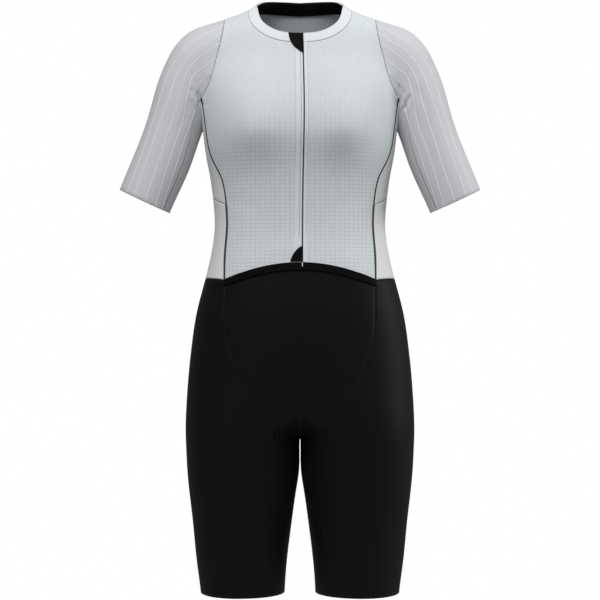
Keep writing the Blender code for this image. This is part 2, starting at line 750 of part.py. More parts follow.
def neck_front(half):
    """The front neckline from the zip's edge to the neck point."""
    point = np.array(NECK_POINT) * MM * (half, 1, 1)
    rows = np.array(NECK_FRONT_ROWS) * MM * (half, 1)
    edge = zip_edge(rows[0, 1], half)
    line = on_side(*smooth(np.concatenate([[(edge, rows[0, 1])], rows[1:]]), NECK).T, -1)
    line = np.concatenate([line, settle(smooth(np.stack([line[-1], settle(point)]), 2))[1:]])
    return spaced(line, NECK)


def zip_edge(z, half):
    return ZIP_X(z) + half * ZIP_GAP / 2


def make_fronts(seams, half, name):
    neck = neck_front(half)
    lines = {key: line * (half, 1, 1) for key, line in seams.items()}
    neck[-1] = lines["shoulder"][0]
    x = np.linspace(zip_edge(ARCH_TOP, half), half * ARCH_SIDE, DRAWN)
    bottom = spaced(on_side(x, arch(x), -1), NECK)
    bottom[-1] = lines["princess_low_front"][-1]
    z = np.linspace(neck[0, 2], bottom[0, 2], DRAWN)
    middle = spaced(on_side(zip_edge(z, half), z, -1), TORSO)
    middle[0], middle[-1] = neck[0], bottom[0]
    armhole = lines["armhole_front"][::-1]
    side = join(lines["shoulder"], armhole, lines["princess_high_front"], lines["princess_low_front"])
    grid = patch(neck, bottom, middle, side, front_chart())
    cloth("front_" + name, [grid], "mesh", lifts=[hem_lift(grid)])


def make_back(seams):
    low = join(seams["princess_high_back"], seams["princess_low_back"])
    side = join(seams["shoulder"], seams["armhole_back"], low)
    neck = seams["neck_back"][::-1]
    grid = patch(neck, seams["waist_back"][::-1], seams["centre_back"], side, torso_chart(1))
    cloth("back", [grid, mirrored(grid)], "mesh")


def make_pairs(seams):
    """The pieces that the two halves have alike."""
    front, back = seams["princess_high_front"], seams["princess_high_back"]
    upper = patch(seams["underarm"], seams["cross"], front, back, torso_chart(-1))
    front, back = seams["princess_low_front"], seams["princess_low_back"]
    lower = patch(seams["cross"], seams["waist_side"], front, back, torso_chart(-1))
    cap = join(seams["armhole_front"], seams["armhole_back"])
    sleeve = patch(cap, seams["cuff_out"], seams["sleeve_front"], seams["sleeve_back"], arm_chart(True))
    front, back = seams["sleeve_front"], seams["sleeve_back"]
    under = patch(seams["underarm"], seams["cuff_in"], front, back, arm_chart(False))
    top = join(seams["waist_side"], seams["waist_back"])
    left = join(seams["shorts"], seams["gusset_front"])
    right = join(seams["centre_seat"], seams["gusset_back"])
    leg = patch(top, seams["hem_out"], left, right, leg_chart(True))
    pieces = (
        ("side_upper", upper, "side"),
        ("side_lower", lower, "side"),
        ("sleeve", sleeve, "sleeve"),
        ("undersleeve", under, "sleeve"),
        ("short_leg", leg, "black"),
    )
    for name, grid, colour in pieces:
        cloth(name + "_left", [grid], colour)
        cloth(name + "_right", [mirrored(grid)], colour)


def make_shorts_front(seams):
    x = np.linspace(0, ARCH_SIDE, DRAWN)
    tuck = BAND_TUCK * (1 - (x / ARCH_SIDE) ** 4)
    top = spaced(on_side(x, arch(x) - tuck, -1), FRONT_HALF)
    top[-1] = seams["shorts"][0]
    z = np.linspace(top[0, 2], seams["front_bottom"][-1, 2], DRAWN)
    middle = spaced(on_side(0 * z, z, -1), FRONT_DROP)
    middle[-1] = seams["front_bottom"][-1]
    grid = patch(top, seams["front_bottom"][::-1], middle, seams["shorts"], torso_chart(-1))
    cloth("shorts_front", [grid, mirrored(grid)], "black")


def make_gusset(seams):
    top = join(seams["front_bottom"], seams["cleft"])
    grid = patch(top, seams["hem_in"], seams["gusset_front"], seams["gusset_back"], leg_chart(False))
    cloth("gusset", [grid, mirrored(grid)], "black")


def make_waistband():
    x = np.linspace(-ARCH_SIDE, ARCH_SIDE, 2 * BAND_HALF + 1)
    width = WAISTBAND_WIDTH * (1 - BAND_TAPER * (x / ARCH_SIDE) ** 4)
    grid = np.stack([on_side(x, arch(x) - share * width, -1) for share in (0, 0.5, 1)])
    cloth("waistband", [grid], "black", wall=BAND_WALL, lifts=[HEM_LIFT])


def neck_loop(seams):
    """The whole neck seam, from the zip's edge round by the wearer's right shoulder to its other edge."""
    right = join(neck_front(-1), mirrored(seams["neck_back"]))
    left = join(neck_front(1), seams["neck_back"])
    return join(right, left[::-1])


def up_neck(loop, rise):
    """The loop, moved up the form by rise, square to itself."""
    along = np.gradient(loop, axis=0)
    way = np.cross(along, outward(loop))
    way /= np.linalg.norm(way, axis=1, keepdims=True)
    return settle(loop + way * rise)


def make_neck(seams):
    loop = neck_loop(seams)
    rises = np.linspace(0, NECKBAND_WIDTH, NECKBAND_ROWS + 1)
    band = np.stack([up_neck(loop, rise) for rise in rises])
    cloth("neckband", [band], "neckband", wall=BAND_WALL, lifts=[NECKBAND_LIFT])
    inward = NECK - np.abs(np.arange(2 * NECK + 1) - NECK)
    low = (NECKBAND_WIDTH - FACING_WIDTH) * np.minimum(1, (inward + 1) / FACING_TAPER)
    rises[-1] += FACING_STEP
    rows = []
    for height in (low, *rises):
        rise = np.zeros((len(loop), 1))
        rise[NECK : 3 * NECK + 1, 0] = height
        rows.append(up_neck(loop, rise)[NECK : 3 * NECK + 1])
    cloth("back_neck_facing", [np.stack(rows)], "black", wall=TAPE_WALL, lifts=[-FACING_DROP])
    return band


def make_zip_tape(band):
    top = (band[-1, 0] + band[-1, -1]) / 2
    z = np.linspace(top[2] - ZIP_TAPE_CLEAR, ARCH_TOP + ZIP_TAPE_CLEAR, ZIP_TAPE_DROPS)
    x = ZIP_X(z)[:, None] + np.linspace(-0.5, 0.5, 3) * ZIP_TAPE_WIDTH
    grid = on_side(x, z[:, None] + 0 * x, -1)
    cloth("zip_tape", [grid], "black", wall=TAPE_WALL, lifts=[hem_lift(grid) - ZIP_TAPE_DROP])


def quarter_round(width, height, powers):
    """A quarter of a round as a grid: distances from its two straight edges. powers are those of its outline at
    its wide end and at its tip, 2 for an ellipse."""
    u, v = np.meshgrid(np.linspace(0, 1, TAB + 1), np.linspace(0, 1, TAB + 1))
    across, down = u * np.sqrt(1 - v * v / 2), v * np.sqrt(1 - u * u / 2)
    angle = np.arctan2(down, across)
    power = np.interp(angle, (0, np.pi / 2), powers)
    edge = (np.cos(angle) ** power + np.sin(angle) ** power) ** (-1 / power)
    drawn = 1 - np.hypot(across, down) * (1 - edge)
    return width * across * drawn, height * down * drawn, u, v


def make_zip_tabs(band):
    """The garage over the zip's top end and the guard over its bottom end, both on the wearer's right."""
    out, down, u, v = quarter_round(*GARAGE, GARAGE_POWERS)
    top = band[-1, : NECK + 1]
    order = np.argsort(top[:, 0])
    edge = ZIP_X(band[-1, 0, 2]) + TAB_OVERLAP
    rim = np.interp(edge - out, top[order, 0], top[order, 2])
    z = rim - down
    grid = on_side(ZIP_X(z) + TAB_OVERLAP - out, z, -1)
    puff = GARAGE_PUFF * np.sin(np.pi * u) * np.sin(np.pi * v)
    cloth("zip_garage", [grid], "black", wall=TAPE_WALL, lifts=[TAB_LIFT + NECKBAND_LIFT + puff])
    out, up, u, v = quarter_round(*GUARD, GUARD_POWERS)
    foot = arch(ZIP_X(ARCH_TOP) - out)
    grid = on_side(ZIP_X(foot + up) + TAB_OVERLAP - out, foot + up, -1)
    cloth("zip_guard", [grid], "black", wall=TAPE_WALL, lifts=[hem_lift(grid) + TAB_LIFT])


def main():
    for old in list(bpy.data.objects):
        bpy.data.objects.remove(old)
    collection = bpy.data.collections.new(COLLECTION)
    bpy.context.scene.collection.children.link(collection)
    seams = left_seams()
    make_fronts(seams, -1, "right")
    make_fronts(seams, 1, "left")
    make_back(seams)
    make_pairs(seams)
    make_shorts_front(seams)
    make_gusset(seams)
    make_waistband()
    band = make_neck(seams)
    make_zip_tape(band)
    make_zip_tabs(band)


if __name__ == "__main__":
    main()
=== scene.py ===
"""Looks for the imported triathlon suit: a short-sleeved bodice with a front zip, sewn to knee-length shorts.

Every panel is a thin shell on one common form, worked out from tables of rings as in the model's source. The
seams, stitches, zip teeth and sleeve lines follow the panels' shared seam lines. Metres, +Z up. The wearer
faces -Y and has their left at +X.
"""

import bmesh
import bpy
import numpy as np
from bpy.props import FloatProperty, FloatVectorProperty, PointerProperty
from mathutils import Matrix, Vector


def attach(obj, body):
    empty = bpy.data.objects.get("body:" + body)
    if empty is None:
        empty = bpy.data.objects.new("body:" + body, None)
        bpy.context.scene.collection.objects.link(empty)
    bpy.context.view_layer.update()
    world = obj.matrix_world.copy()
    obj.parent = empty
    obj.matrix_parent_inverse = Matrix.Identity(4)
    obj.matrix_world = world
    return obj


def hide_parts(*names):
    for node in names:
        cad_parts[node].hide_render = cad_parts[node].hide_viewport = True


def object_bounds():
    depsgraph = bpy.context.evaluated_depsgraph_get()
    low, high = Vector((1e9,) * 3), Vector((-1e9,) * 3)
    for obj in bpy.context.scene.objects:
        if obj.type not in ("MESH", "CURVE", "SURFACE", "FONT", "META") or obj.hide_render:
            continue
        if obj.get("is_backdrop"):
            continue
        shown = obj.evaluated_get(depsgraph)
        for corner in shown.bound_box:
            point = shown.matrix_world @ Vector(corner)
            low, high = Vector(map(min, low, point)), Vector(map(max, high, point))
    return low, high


bl_info = {
    "name": "Triathlon suit",
    "version": (1, 0, 0),
    "blender": (4, 5, 0),
    "location": "View3D > Sidebar > Triathlon suit",
    "description": "Builds the triathlon suit's cloth, seams and zip around its packed model",
    "category": "Object",
}

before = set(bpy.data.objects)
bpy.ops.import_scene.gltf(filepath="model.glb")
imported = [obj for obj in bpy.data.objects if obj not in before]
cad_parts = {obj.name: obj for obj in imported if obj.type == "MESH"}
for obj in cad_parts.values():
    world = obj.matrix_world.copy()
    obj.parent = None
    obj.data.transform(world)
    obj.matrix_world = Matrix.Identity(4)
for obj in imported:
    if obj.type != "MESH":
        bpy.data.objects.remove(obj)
CAD_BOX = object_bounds()

MM = 0.001
BODY_NAME = "root"

# The form's and the seams' sizes, as in the solids
LEG_HEM = -902 * MM
WAIST_SEAM = -420.5 * MM
ARCH_TOP = -394 * MM
ARCH_SIDE = 113.8 * MM
WAISTBAND_WIDTH = 12 * MM
BAND_TUCK = 6 * MM
HEM_LIFT = 2.2 * MM
HEM_EASE = 50 * MM
NECKBAND_WIDTH = 15 * MM
NECKBAND_LIFT = 0.3 * MM
FACING_WIDTH = 20 * MM
FACING_STEP = 0.5 * MM
ZIP_GAP = 2.0 * MM
ZIP_TAPE_WIDTH = 16 * MM
ZIP_TAPE_DROP = 2.2 * MM
ZIP_TAPE_CLEAR = 1 * MM
GARAGE_POWERS = (1.9, 1.3)
GARAGE_PUFF = 1.2 * MM
GUARD_POWERS = (1.5, 1.5)
FACING_DROP = 2.35 * MM
FACING_TAPER = 3
HEM_SETTLES = 0.86
BAND_TAPER = 0.25
CROTCH_TOP = -582 * MM
CROTCH = -658 * MM
CROTCH_EASE = 0.16
CLEFT = 6 * MM
SLEEVE_LEAN = np.radians(19)
SLEEVE_HEM_TILT = np.radians(6)
SLEEVE_HEM = (240 * MM, -298 * MM)
ARM_TOP = 300 * MM
INSEAM_ANGLE = np.radians(44)

# Rings of the body and of one leg, in mm. width is the outline's half width, and inner the leg's distance
# from the middle. A leg's ring is centred lobe out from the middle. front, middle and back are depths, and
# square is the power of the rounded ring, 2 for an ellipse.
BODY_COLUMNS = ("z", "width", "lobe", "inner", "middle", "front", "back", "square")
BODY_ROWS = (
    (-960, 150.0, 88.0, 23.9, -3, -68.0, 62.0, 2.05),
    (-902, 153.5, 88.4, 23.6, -3, -70.0, 64.0, 2.05),
    (-854, 159.7, 89.8, 20.2, -3, -75.0, 69.0, 2.05),
    (-792, 165.9, 90.0, 12.5, -2, -81.0, 77.0, 2.05),
    (-745, 171.5, 89.5, 5.8, 0, -85.0, 87.0, 2.10),
    (-715, 174.5, 89.0, 1.4, 3, -87.0, 96.0, 2.15),
    (-684, 176.3, 88.0, 0.7, 6, -89.0, 107.0, 2.20),
    (-664, 177.2, 86.0, 0.5, 8, -90.5, 114.0, 2.25),
    (-640, 177.3, 79.0, 0.0, 9, -91.5, 120.0, 2.30),
    (-610, 176.0, 64.0, 0.0, 9, -92.5, 124.0, 2.30),
    (-570, 173.2, 42.0, 0.0, 8, -94.0, 124.5, 2.30),
    (-520, 167.8, 20.0, 0.0, 6, -96.5, 119.0, 2.30),
    (-470, 160.0, 7.0, 0.0, 4, -97.0, 108.0, 2.30),
    (-420, 147.0, 1.0, 0.0, 2, -94.0, 93.0, 2.25),
    (-380, 137.5, 1.0, 0.0, 0, -90.0, 80.0, 2.20),
    (-335, 132.0, 1.0, 0.0, 0, -87.0, 73.0, 2.20),
    (-296, 134.5, 1.0, 0.0, 0, -89.0, 75.0, 2.20),
    (-265, 138.5, 1.0, 0.0, 0, -93.0, 80.0, 2.25),
    (-230, 145.0, 1.0, 0.0, 0, -98.0, 86.0, 2.40),
    (-185, 150.8, 1.0, 0.0, 2, -100.0, 92.0, 2.50),
    (-150, 155.5, 1.0, 0.0, 4, -96.0, 94.0, 2.50),
    (-110, 161.0, 1.0, 0.0, 6, -85.0, 92.0, 2.40),
    (-80, 165.0, 1.0, 0.0, 8, -72.0, 88.0, 2.25),
    (-60, 168.0, 1.0, 0.0, 9, -64.0, 84.0, 2.15),
    (-46, 168.0, 1.0, 0.0, 9, -58.0, 80.0, 2.10),
    (-32, 157.0, 1.0, 0.0, 9, -51.0, 74.0, 2.05),
    (-17, 118.5, 1.0, 0.0, 9, -43.0, 67.0, 2.00),
    (-2, 82.0, 1.0, 0.0, 9, -34.0, 60.0, 2.00),
    (6, 69.0, 1.0, 0.0, 9, -29.0, 56.5, 2.00),
    (20, 63.0, 1.0, 0.0, 9, -20.0, 52.0, 2.00),
    (40, 60.0, 1.0, 0.0, 9, -12.0, 48.0, 2.00),
)

# Rings of one arm, in mm, by their distance up the arm from the sleeve's hem. centre is the ring's offset
# away from the body, and fore its depth.
ARM_COLUMNS = ("up", "centre", "half", "fore", "depth")
ARM_ROWS = (
    (-60, 1, 42.0, -4, 43.0),
    (0, 0, 42.5, -4, 43.5),
    (70, -5, 43.7, -2, 45.0),
    (130, -5.4, 43.6, 0, 46.5),
    (180, -6, 47.2, 2, 49.5),
    (215, -8, 47.5, 4, 51.0),
    (240, -11, 46.0, 5, 50.0),
    (260, -17, 42.0, 6, 46.0),
    (275, -24, 35.5, 7, 38.5),
    (288, -31, 24.0, 8, 26.0),
    (300, -36, 6.0, 8, 7.0),
)

# How far the arm's form eases into the body's, in mm, by height.
EASE_ROWS = ((-210, 2.5), (-186, 3.5), (-150, 13), (-100, 34), (0, 36))

# The fullness over the bust, added to the front depth.
BUST_OUT = 72 * MM
BUST_HEIGHT = -192 * MM
BUST_RISE = 21 * MM
BUST_BRIDGE = 0.5
BUST_WIDE = 46 * MM
BUST_UP = 72 * MM
BUST_DOWN = 44 * MM

# Seam lines of the wearer's left half, in mm: x and z, or x, y and z.
PRINCESS_ROWS = (
    (151.0, -143),
    (148.5, -158),
    (145.8, -176),
    (141.5, -209),
    (132.8, -239),
    (120.5, -263),
    (114.8, -285),
    (111.3, -316),
    (111.0, -345),
    (113.5, -375),
    (113.8, -420.5),
)
ARMHOLE_ROWS = ((142, -127), (134, -109), (128, -86), (122, -63), (118, -42), (116.5, -27))
SHOULDER_TIP = (116, 9, -17)
UNDERARM_ROWS = ((152, -27, -168), (151.5, 2, -184), (152, 31, -168))
NECK_POINT = (80, 9, -2)
NECK_FRONT_ROWS = (
    (4, -60.8),
    (19.7, -59.6),
    (34.0, -57.0),
    (47.3, -52.0),
    (59.3, -44.6),
    (71.4, -32.4),
    (77.7, -18.6),
    (79.5, -8.5),
)
NECK_BACK_ROWS = ((76, 20, 1.0), (67, 31, 3.5), (53, 43, 5.0), (27, 55, 5.0), (0, 58, 4.0))
SHORTS_SEAM_ROWS = (
    (113.3, -441),
    (112.9, -483),
    (109.0, -513),
    (97.5, -542),
    (87.4, -568),
    (67.6, -598),
    (52.9, -628),
    (38.2, -648),
)
ZIP_ROWS = ((-400, 3.6), (-330, 3.8), (-240, 5.2), (-165, 6.4), (-60, 4.6), (-40, 4.4))
CROSS_SEAM = -306.5 * MM
CROSS_MIDDLE = (140, 2, -293)
WAIST_SIDE = (150, 2, -417.5)
GUSSET_BACK = -635 * MM
GUSSET_CORNER = -680 * MM
GUSSET_FRONT_ROW = (33, -663)
GUSSET_BACK_ROW = (19, -654)

# Rows of the seams under a sleeve: distance up the arm in mm, and angle from the side that faces the body.
UNDERSLEEVE_ROWS = ((150, 52), (112, 42), (50, 37), (0, 36))

SIDES = ((-1, "front"), (1, "back"))
TURN = 2 * np.pi

# Segments along each seam: the solids' own counts, each split into FINER
FINER = 3
FINE = 12
LONG_FINE = 40
DRAWN = 400
PRINCESS_HIGH, PRINCESS_LOW = 9 * FINER, 6 * FINER
ARMHOLE = 8 * FINER
SIDE_ROUND = 8 * FINER
NECK, SHOULDER = 9 * FINER, 3 * FINER
TORSO = SHOULDER + ARMHOLE + PRINCESS_HIGH + PRINCESS_LOW
SLEEVE_DROP = 10 * FINER
FRONT_HALF = 6 * FINER
FRONT_DROP, GUSSET_DROP, LEG_DROP = 12 * FINER, 3 * FINER, 7 * FINER
CLEFT_ROUND = 8 * FINER
BAND_HALF = 10 * FINER

# Rounds that halve a gap or settle a point, and the reach of the search from the middle
HALVINGS = 40
SETTLE_ROUNDS = 14
STEEPEST = 0.05
REACH = 250 * MM

# The fan of lines that draws the torso's panels above the chest, and the steps along such a line
FAN = -150 * MM
FAN_REACH = 120 * MM
CAST_STEP = 1.4 * MM
CAST_STEPS = 180
EVENING = 12
FRONT_VIEW = np.radians(30)

# Soft creases, in mm: front (-1) or back (1), from x and z, to x and z, half width and depth
CREASES = (
    (-1, -155, -135, -153, -150, 2.2, 2.0),
    (-1, -165, -131, -159, -141, 3.0, 1.4),
    (-1, -140, -118, -147, -150, 8.0, 1.2),
    (-1, -168, -150, -177, -180, 5.0, 0.7),
    (-1, 152, -125, 158, -137, 2.8, 1.8),
    (-1, 167, -142, 160, -158, 2.8, 2.2),
    (-1, 156, -140, 159, -156, 2.2, 1.6),
    (-1, 141, -118, 147, -150, 8.0, 1.0),
    (-1, 182, -132, 187, -152, 6.0, 0.8),
    (-1, 170, -150, 179, -182, 5.0, 0.7),
    (-1, -100, -300, -70, -312, 9.0, 0.4),
    (-1, 98, -296, 66, -306, 9.0, 0.4),
    (-1, -60, -645, -22, -628, 6.0, 0.8),
    (-1, 60, -645, 24, -626, 6.0, 0.8),
    (-1, -70, -668, -28, -652, 7.0, 0.7),
    (-1, 72, -670, 28, -650, 7.0, 0.7),
    (1, -156, -134, -154, -149, 2.4, 1.8),
    (1, 155, -133, 159, -148, 2.6, 1.8),
    (1, -140, -118, -148, -152, 8.0, 1.2),
    (1, 141, -117, 148, -150, 8.0, 1.1),
    (1, -96, -318, -30, -332, 9.0, 1.1),
    (1, 30, -336, 98, -320, 9.0, 1.2),
    (1, -88, -346, -18, -356, 8.0, 1.0),
    (1, 12, -358, 84, -344, 8.0, 0.9),
    (1, -112, -604, -40, -640, 8.0, 1.1),
    (1, 112, -602, 42, -638, 8.0, 1.2),
    (1, -118, -640, -62, -668, 7.0, 0.9),
    (1, 116, -642, 60, -666, 7.0, 0.8),
)
CREASE_ENDS = 0.3

# The soft ridges beside a crease: place in half widths, and height as a share of the crease's depth
CREASE_RIDGES = ((1.9, 0.45), (-2.1, 0.3))

# The sleeve's lines over its front half: each is a list of places, as shares of the way down the sleeve and
# of the way round from its front seam. The back half has the same.
SLEEVE_LINES = (
    (
        (0, 0.37), (0.1, 0.392), (0.2, 0.407), (0.3, 0.422), (0.5, 0.412), (0.65, 0.396), (0.8, 0.367),
        (1, 0.325),
    ),
    (
        (0, 0.327), (0.07, 0.328), (0.15, 0.354), (0.22, 0.365), (0.3, 0.375), (0.41, 0.365), (0.6, 0.343),
        (0.75, 0.317), (0.85, 0.292), (1, 0.254),
    ),
    (
        (0, 0.266), (0.08, 0.282), (0.18, 0.312), (0.26, 0.327), (0.34, 0.317), (0.4, 0.297), (0.48, 0.276),
        (0.6, 0.258), (0.76, 0.218), (1, 0.165),
    ),
    (
        (0, 0.192), (0.09, 0.224), (0.18, 0.255), (0.26, 0.276), (0.3, 0.258), (0.34, 0.245), (0.42, 0.193),
        (0.55, 0.171), (0.68, 0.151), (0.86, 0.109), (1, 0.077),
    ),
    ((0, 0.13), (0.09, 0.162), (0.2, 0.192)),
    ((0.2, 0.067), (0.33, 0.078), (0.43, 0.088), (0.61, 0.078), (0.73, 0.062), (1, 0.017)),
)

# Shares across the neckband and the waistband, closer together at the edges
EDGE_SHARES = (0, 0.08, 0.3, 0.5, 0.7, 0.92, 1)

# Panels' edges: how far in from a seam the cloth starts to sink to it, and how far it sinks
SINK_WIDTH = 2.6 * MM
SINK_DEPTH = 0.55 * MM
SHORTS_SINK = 0.4

# The bands beside the zip, in mm: distance from its middle, and height
RIGHT_BAND_ROWS = (
    (1.0, -0.3), (1.2, 0.45), (1.8, 0.75), (3.2, 0.8), (3.9, 0.55), (4.2, 0.2), (4.5, 0.2), (5.0, 0.5),
    (8.0, 0.55), (11.2, 0.5), (12.2, 0.3), (12.8, -0.05),
)
LEFT_BAND_ROWS = (
    (1.0, -0.3), (1.2, 0.5), (1.8, 0.85), (2.6, 0.85), (3.4, 0.5), (5.0, 0.4), (6.0, 0.15), (6.4, -0.05),
)
STITCH_LINES = (-12.4, 6.1)
STITCH_LIFT = 0.35 * MM
TOOTH_PITCH = 2.0 * MM
TOOTH_SIZE = (1.9 * MM, 1.0 * MM, 1.05 * MM)
TOOTH_DROP = 1.1 * MM
TOOTH_SIDE = 0.45
TOOTH_BEVEL = 0.18
GARAGE = (21.7 * MM, 31.5 * MM)
GUARD = (17.8 * MM, 23.2 * MM)
WELD = 0.001 * MM
TAB = 24
TAB_OVERLAP = 0.4 * MM
TAB_LIFT = 1.4 * MM
BAND_POINTS = 181
BAND_COLUMNS = 24
RIBBON_SIDES = 6
LINE_POINTS = 120
MIDDLE_LINE = ((0, 0.5), (0.5, 0.5), (1, 0.5))
SEAM_RISE = 0.6 * MM
SEAM_DROP = 0.12 * MM
# Painted shade: thin dark lines, in mm from the zip's middle, where the bands' folds beside the zip cast soft
# shade; their width and height.
FOLD_SHADE_LINES = (-4.4, 3.1)
FOLD_SHADE_WIDTH = 0.8 * MM
FOLD_RISE = 0.2 * MM
ZIP_END = 7 * MM
STRIP_RISE = 0.3 * MM
THIN_RISE = 0.3 * MM
CAMERA_AWAY = 2.6
CAMERA_HEIGHT = -0.451
CAMERA_WIDTH = 0.93
SENSOR = 36
FLOOR_DROP = 0.9
FLOOR_RADIUS = 2.6

# The mesh knit: holes across and down and their radii where they start and end, and ribs, in mm; then the
# heights between which the holes fade, the share of them left above, and the tint of its uneven patches.
# Painted light: the holes' painted shade fades above, where the upper chest is lit.
HOLE_ACROSS, HOLE_DOWN = 7.5, 5.9
HOLE_EDGE = (0.55, 1.15)
MESH_RIB = 2.5
HOLES_LIT_FADE = (-0.27, -0.13)
HOLES_LEFT_LIT = 0.12
MESH_TINT = (0.97, 1.02, 1.0)

# The lights: name, place, what they face, size and power
LIGHTS = (
    ("key", (-0.4, -1.95, 2.3), (0, 0, -0.3), 2.0, 99),
    ("side", (2.5, 0.05, 0.2), (0, 0, -0.3), 1.2, 29),
)
AMBIENT = 0.155


# ---------------------------------------------------------------- the form


def spline(keys, values):
    """A natural cubic spline through the values, as a function; keys run upwards."""
    keys, values = np.asarray(keys, float), np.asarray(values, float)
    step, rise = np.diff(keys), np.diff(values, axis=0)
    rise = rise / step.reshape((-1,) + (1,) * (values.ndim - 1))
    count = len(keys)
    system, known = np.zeros((count, count)), np.zeros(values.shape)
    system[0, :2], known[0] = (2, 1), 3 * rise[0]
    system[-1, -2:], known[-1] = (1, 2), 3 * rise[-1]
    for i in range(1, count - 1):
        system[i, i - 1 : i + 2] = step[i], 2 * (step[i - 1] + step[i]), step[i - 1]
        known[i] = 3 * (step[i] * rise[i - 1] + step[i - 1] * rise[i])
    slopes = np.linalg.solve(system, known)

    def at(key):
        key = np.clip(key, keys[0], keys[-1])
        i = np.clip(np.searchsorted(keys, key) - 1, 0, count - 2)
        width = keys[i + 1] - keys[i]
        t = (key - keys[i]) / width
        if values.ndim > 1:
            t, width = t[..., None], width[..., None]
        fall = 2 * t**3 - 3 * t**2 + 1
        start = (t**3 - 2 * t**2 + t) * width * slopes[i]
        end = (t**3 - t**2) * width * slopes[i + 1]
        return fall * values[i] + (1 - fall) * values[i + 1] + start + end

    return at


def table(names, rows, plain=()):
    """One spline for each named column of rows in mm, by the first column. Those in plain aren't lengths."""
    cells = np.array(rows, float)
    return {
        name: spline(cells[:, 0] * MM, cells[:, i] * (1 if name in plain else MM))
        for i, name in enumerate(names)
        if i
    }


BODY = table(BODY_COLUMNS, BODY_ROWS, plain=("square",))
ARM = table(ARM_COLUMNS, ARM_ROWS)
EASE = table(("z", "ease"), EASE_ROWS)["ease"]
ZIP_X = table(("z", "x"), ZIP_ROWS)["x"]


def soft_min(a, b, ease):
    """The smaller of two values, eased where they come closer than ease."""
    near = np.maximum(ease - np.abs(a - b), 0) / ease
    return np.minimum(a, b) - near**3 * ease / 6


def fold(x):
    """Distance from the middle plane, flattened close to it so that a cleft has a round bottom."""
    return np.sqrt(x * x + CLEFT**2) - CLEFT


def ring_gap(a, b, per_a, per_b, square):
    """Distance outside a rounded ring, from offsets along its two axes and one over its two half sizes."""
    u = np.abs(a) * per_a + 1e-9
    v = np.abs(b) * per_b + 1e-9
    ring = (u**square + v**square) ** (1 / square)
    slope = np.hypot((u / ring) ** (square - 1) * per_a, (v / ring) ** (square - 1) * per_b)
    return (ring - 1) / slope


def bust(x, z):
    """Depth that the bust adds: two soft rises that the cloth bridges across the middle."""
    off = np.abs(x) - BUST_OUT
    t = np.clip(np.abs(x) / BUST_OUT, 0, 1)
    inside = BUST_BRIDGE + (1 - BUST_BRIDGE) * t * t * (3 - 2 * t)
    across = np.where(off < 0, inside, np.exp(-((off / BUST_WIDE) ** 2)))
    above = z - BUST_HEIGHT
    reach = np.where(above > 0, BUST_UP, BUST_DOWN)
    return BUST_RISE * across * np.exp(-((above / reach) ** 2))


def body_gap(points):
    x, y, z = np.moveaxis(points, -1, 0)
    lobe = BODY["lobe"](z)
    outer = fold(BODY["width"](z)) - lobe
    inner = np.maximum(BODY["inner"](z), 0)
    apart = lobe / (lobe - fold(inner))
    pinch = soft_min(np.maximum((CROTCH_TOP - z) / (CROTCH_TOP - CROTCH), 0), apart, CROTCH_EASE)
    across = fold(x) - lobe
    middle = BODY["middle"](z)
    front = middle - BODY["front"](z) + bust(x, z)
    back = BODY["back"](z) - middle
    per_across = np.where(across > 0, 1 / outer, pinch / lobe)
    per_deep = 1 / np.where(y < middle, front, back)
    return ring_gap(across, y - middle, per_across, per_deep, BODY["square"](z))


def arm_gap(points):
    x, y, z = np.moveaxis(points, -1, 0)
    out, drop = np.abs(x) - SLEEVE_HEM[0], z - SLEEVE_HEM[1]
    up = drop * np.cos(SLEEVE_LEAN) - out * np.sin(SLEEVE_LEAN)
    off = out * np.cos(SLEEVE_LEAN) + drop * np.sin(SLEEVE_LEAN)
    off, deep = off - ARM["centre"](up), y - ARM["fore"](up)
    gap = ring_gap(off, deep, 1 / ARM["half"](up), 1 / ARM["depth"](up), 2)
    return gap + np.maximum(up - ARM_TOP, 0)


def form(points):
    """Distance outside the surface that all the cloth follows, true close to it and below zero inside."""
    return soft_min(body_gap(points), arm_gap(points), EASE(points[..., 2]))


def slope(points, step=0.2 * MM):
    """The form's gradient, which points out of the suit."""
    parts = []
    for axis in range(3):
        shift = np.zeros(3)
        shift[axis] = step
        parts.append((form(points + shift) - form(points - shift)) / (2 * step))
    return np.stack(parts, -1)


def outward(points):
    away = slope(points)
    return away / np.linalg.norm(away, axis=-1, keepdims=True)


def settle(points):
    """The points moved on to the form, straight in or out."""
    points = np.array(points, float)
    for _ in range(SETTLE_ROUNDS):
        away = slope(points)
        size = np.maximum((away**2).sum(-1, keepdims=True), STEEPEST)
        points = points - form(points)[..., None] * away / size
    return points


def on_side(x, z, side):
    """Points on the front (side -1) or back (side 1) of the form, by their place in the front view."""
    x, z = np.broadcast_arrays(np.asarray(x, float), np.asarray(z, float))
    far, near = np.full(x.shape, side * REACH), np.zeros(x.shape) + BODY["middle"](z)
    for _ in range(HALVINGS):
        half = (far + near) / 2
        outside = form(np.stack([x, half, z], -1)) > 0
        far, near = np.where(outside, half, far), np.where(outside, near, half)
    return np.stack([x, near, z], -1)


def arm_point(up, angle):
    """A point on the left arm's ring: angle 0 faces the body, and 90 degrees the front."""
    off = ARM["centre"](up) - ARM["half"](up) * np.cos(angle)
    y = ARM["fore"](up) - ARM["depth"](up) * np.sin(angle)
    x = SLEEVE_HEM[0] + off * np.cos(SLEEVE_LEAN) - up * np.sin(SLEEVE_LEAN)
    z = SLEEVE_HEM[1] + off * np.sin(SLEEVE_LEAN) + up * np.cos(SLEEVE_LEAN)
    return np.stack([x, y, z], -1)


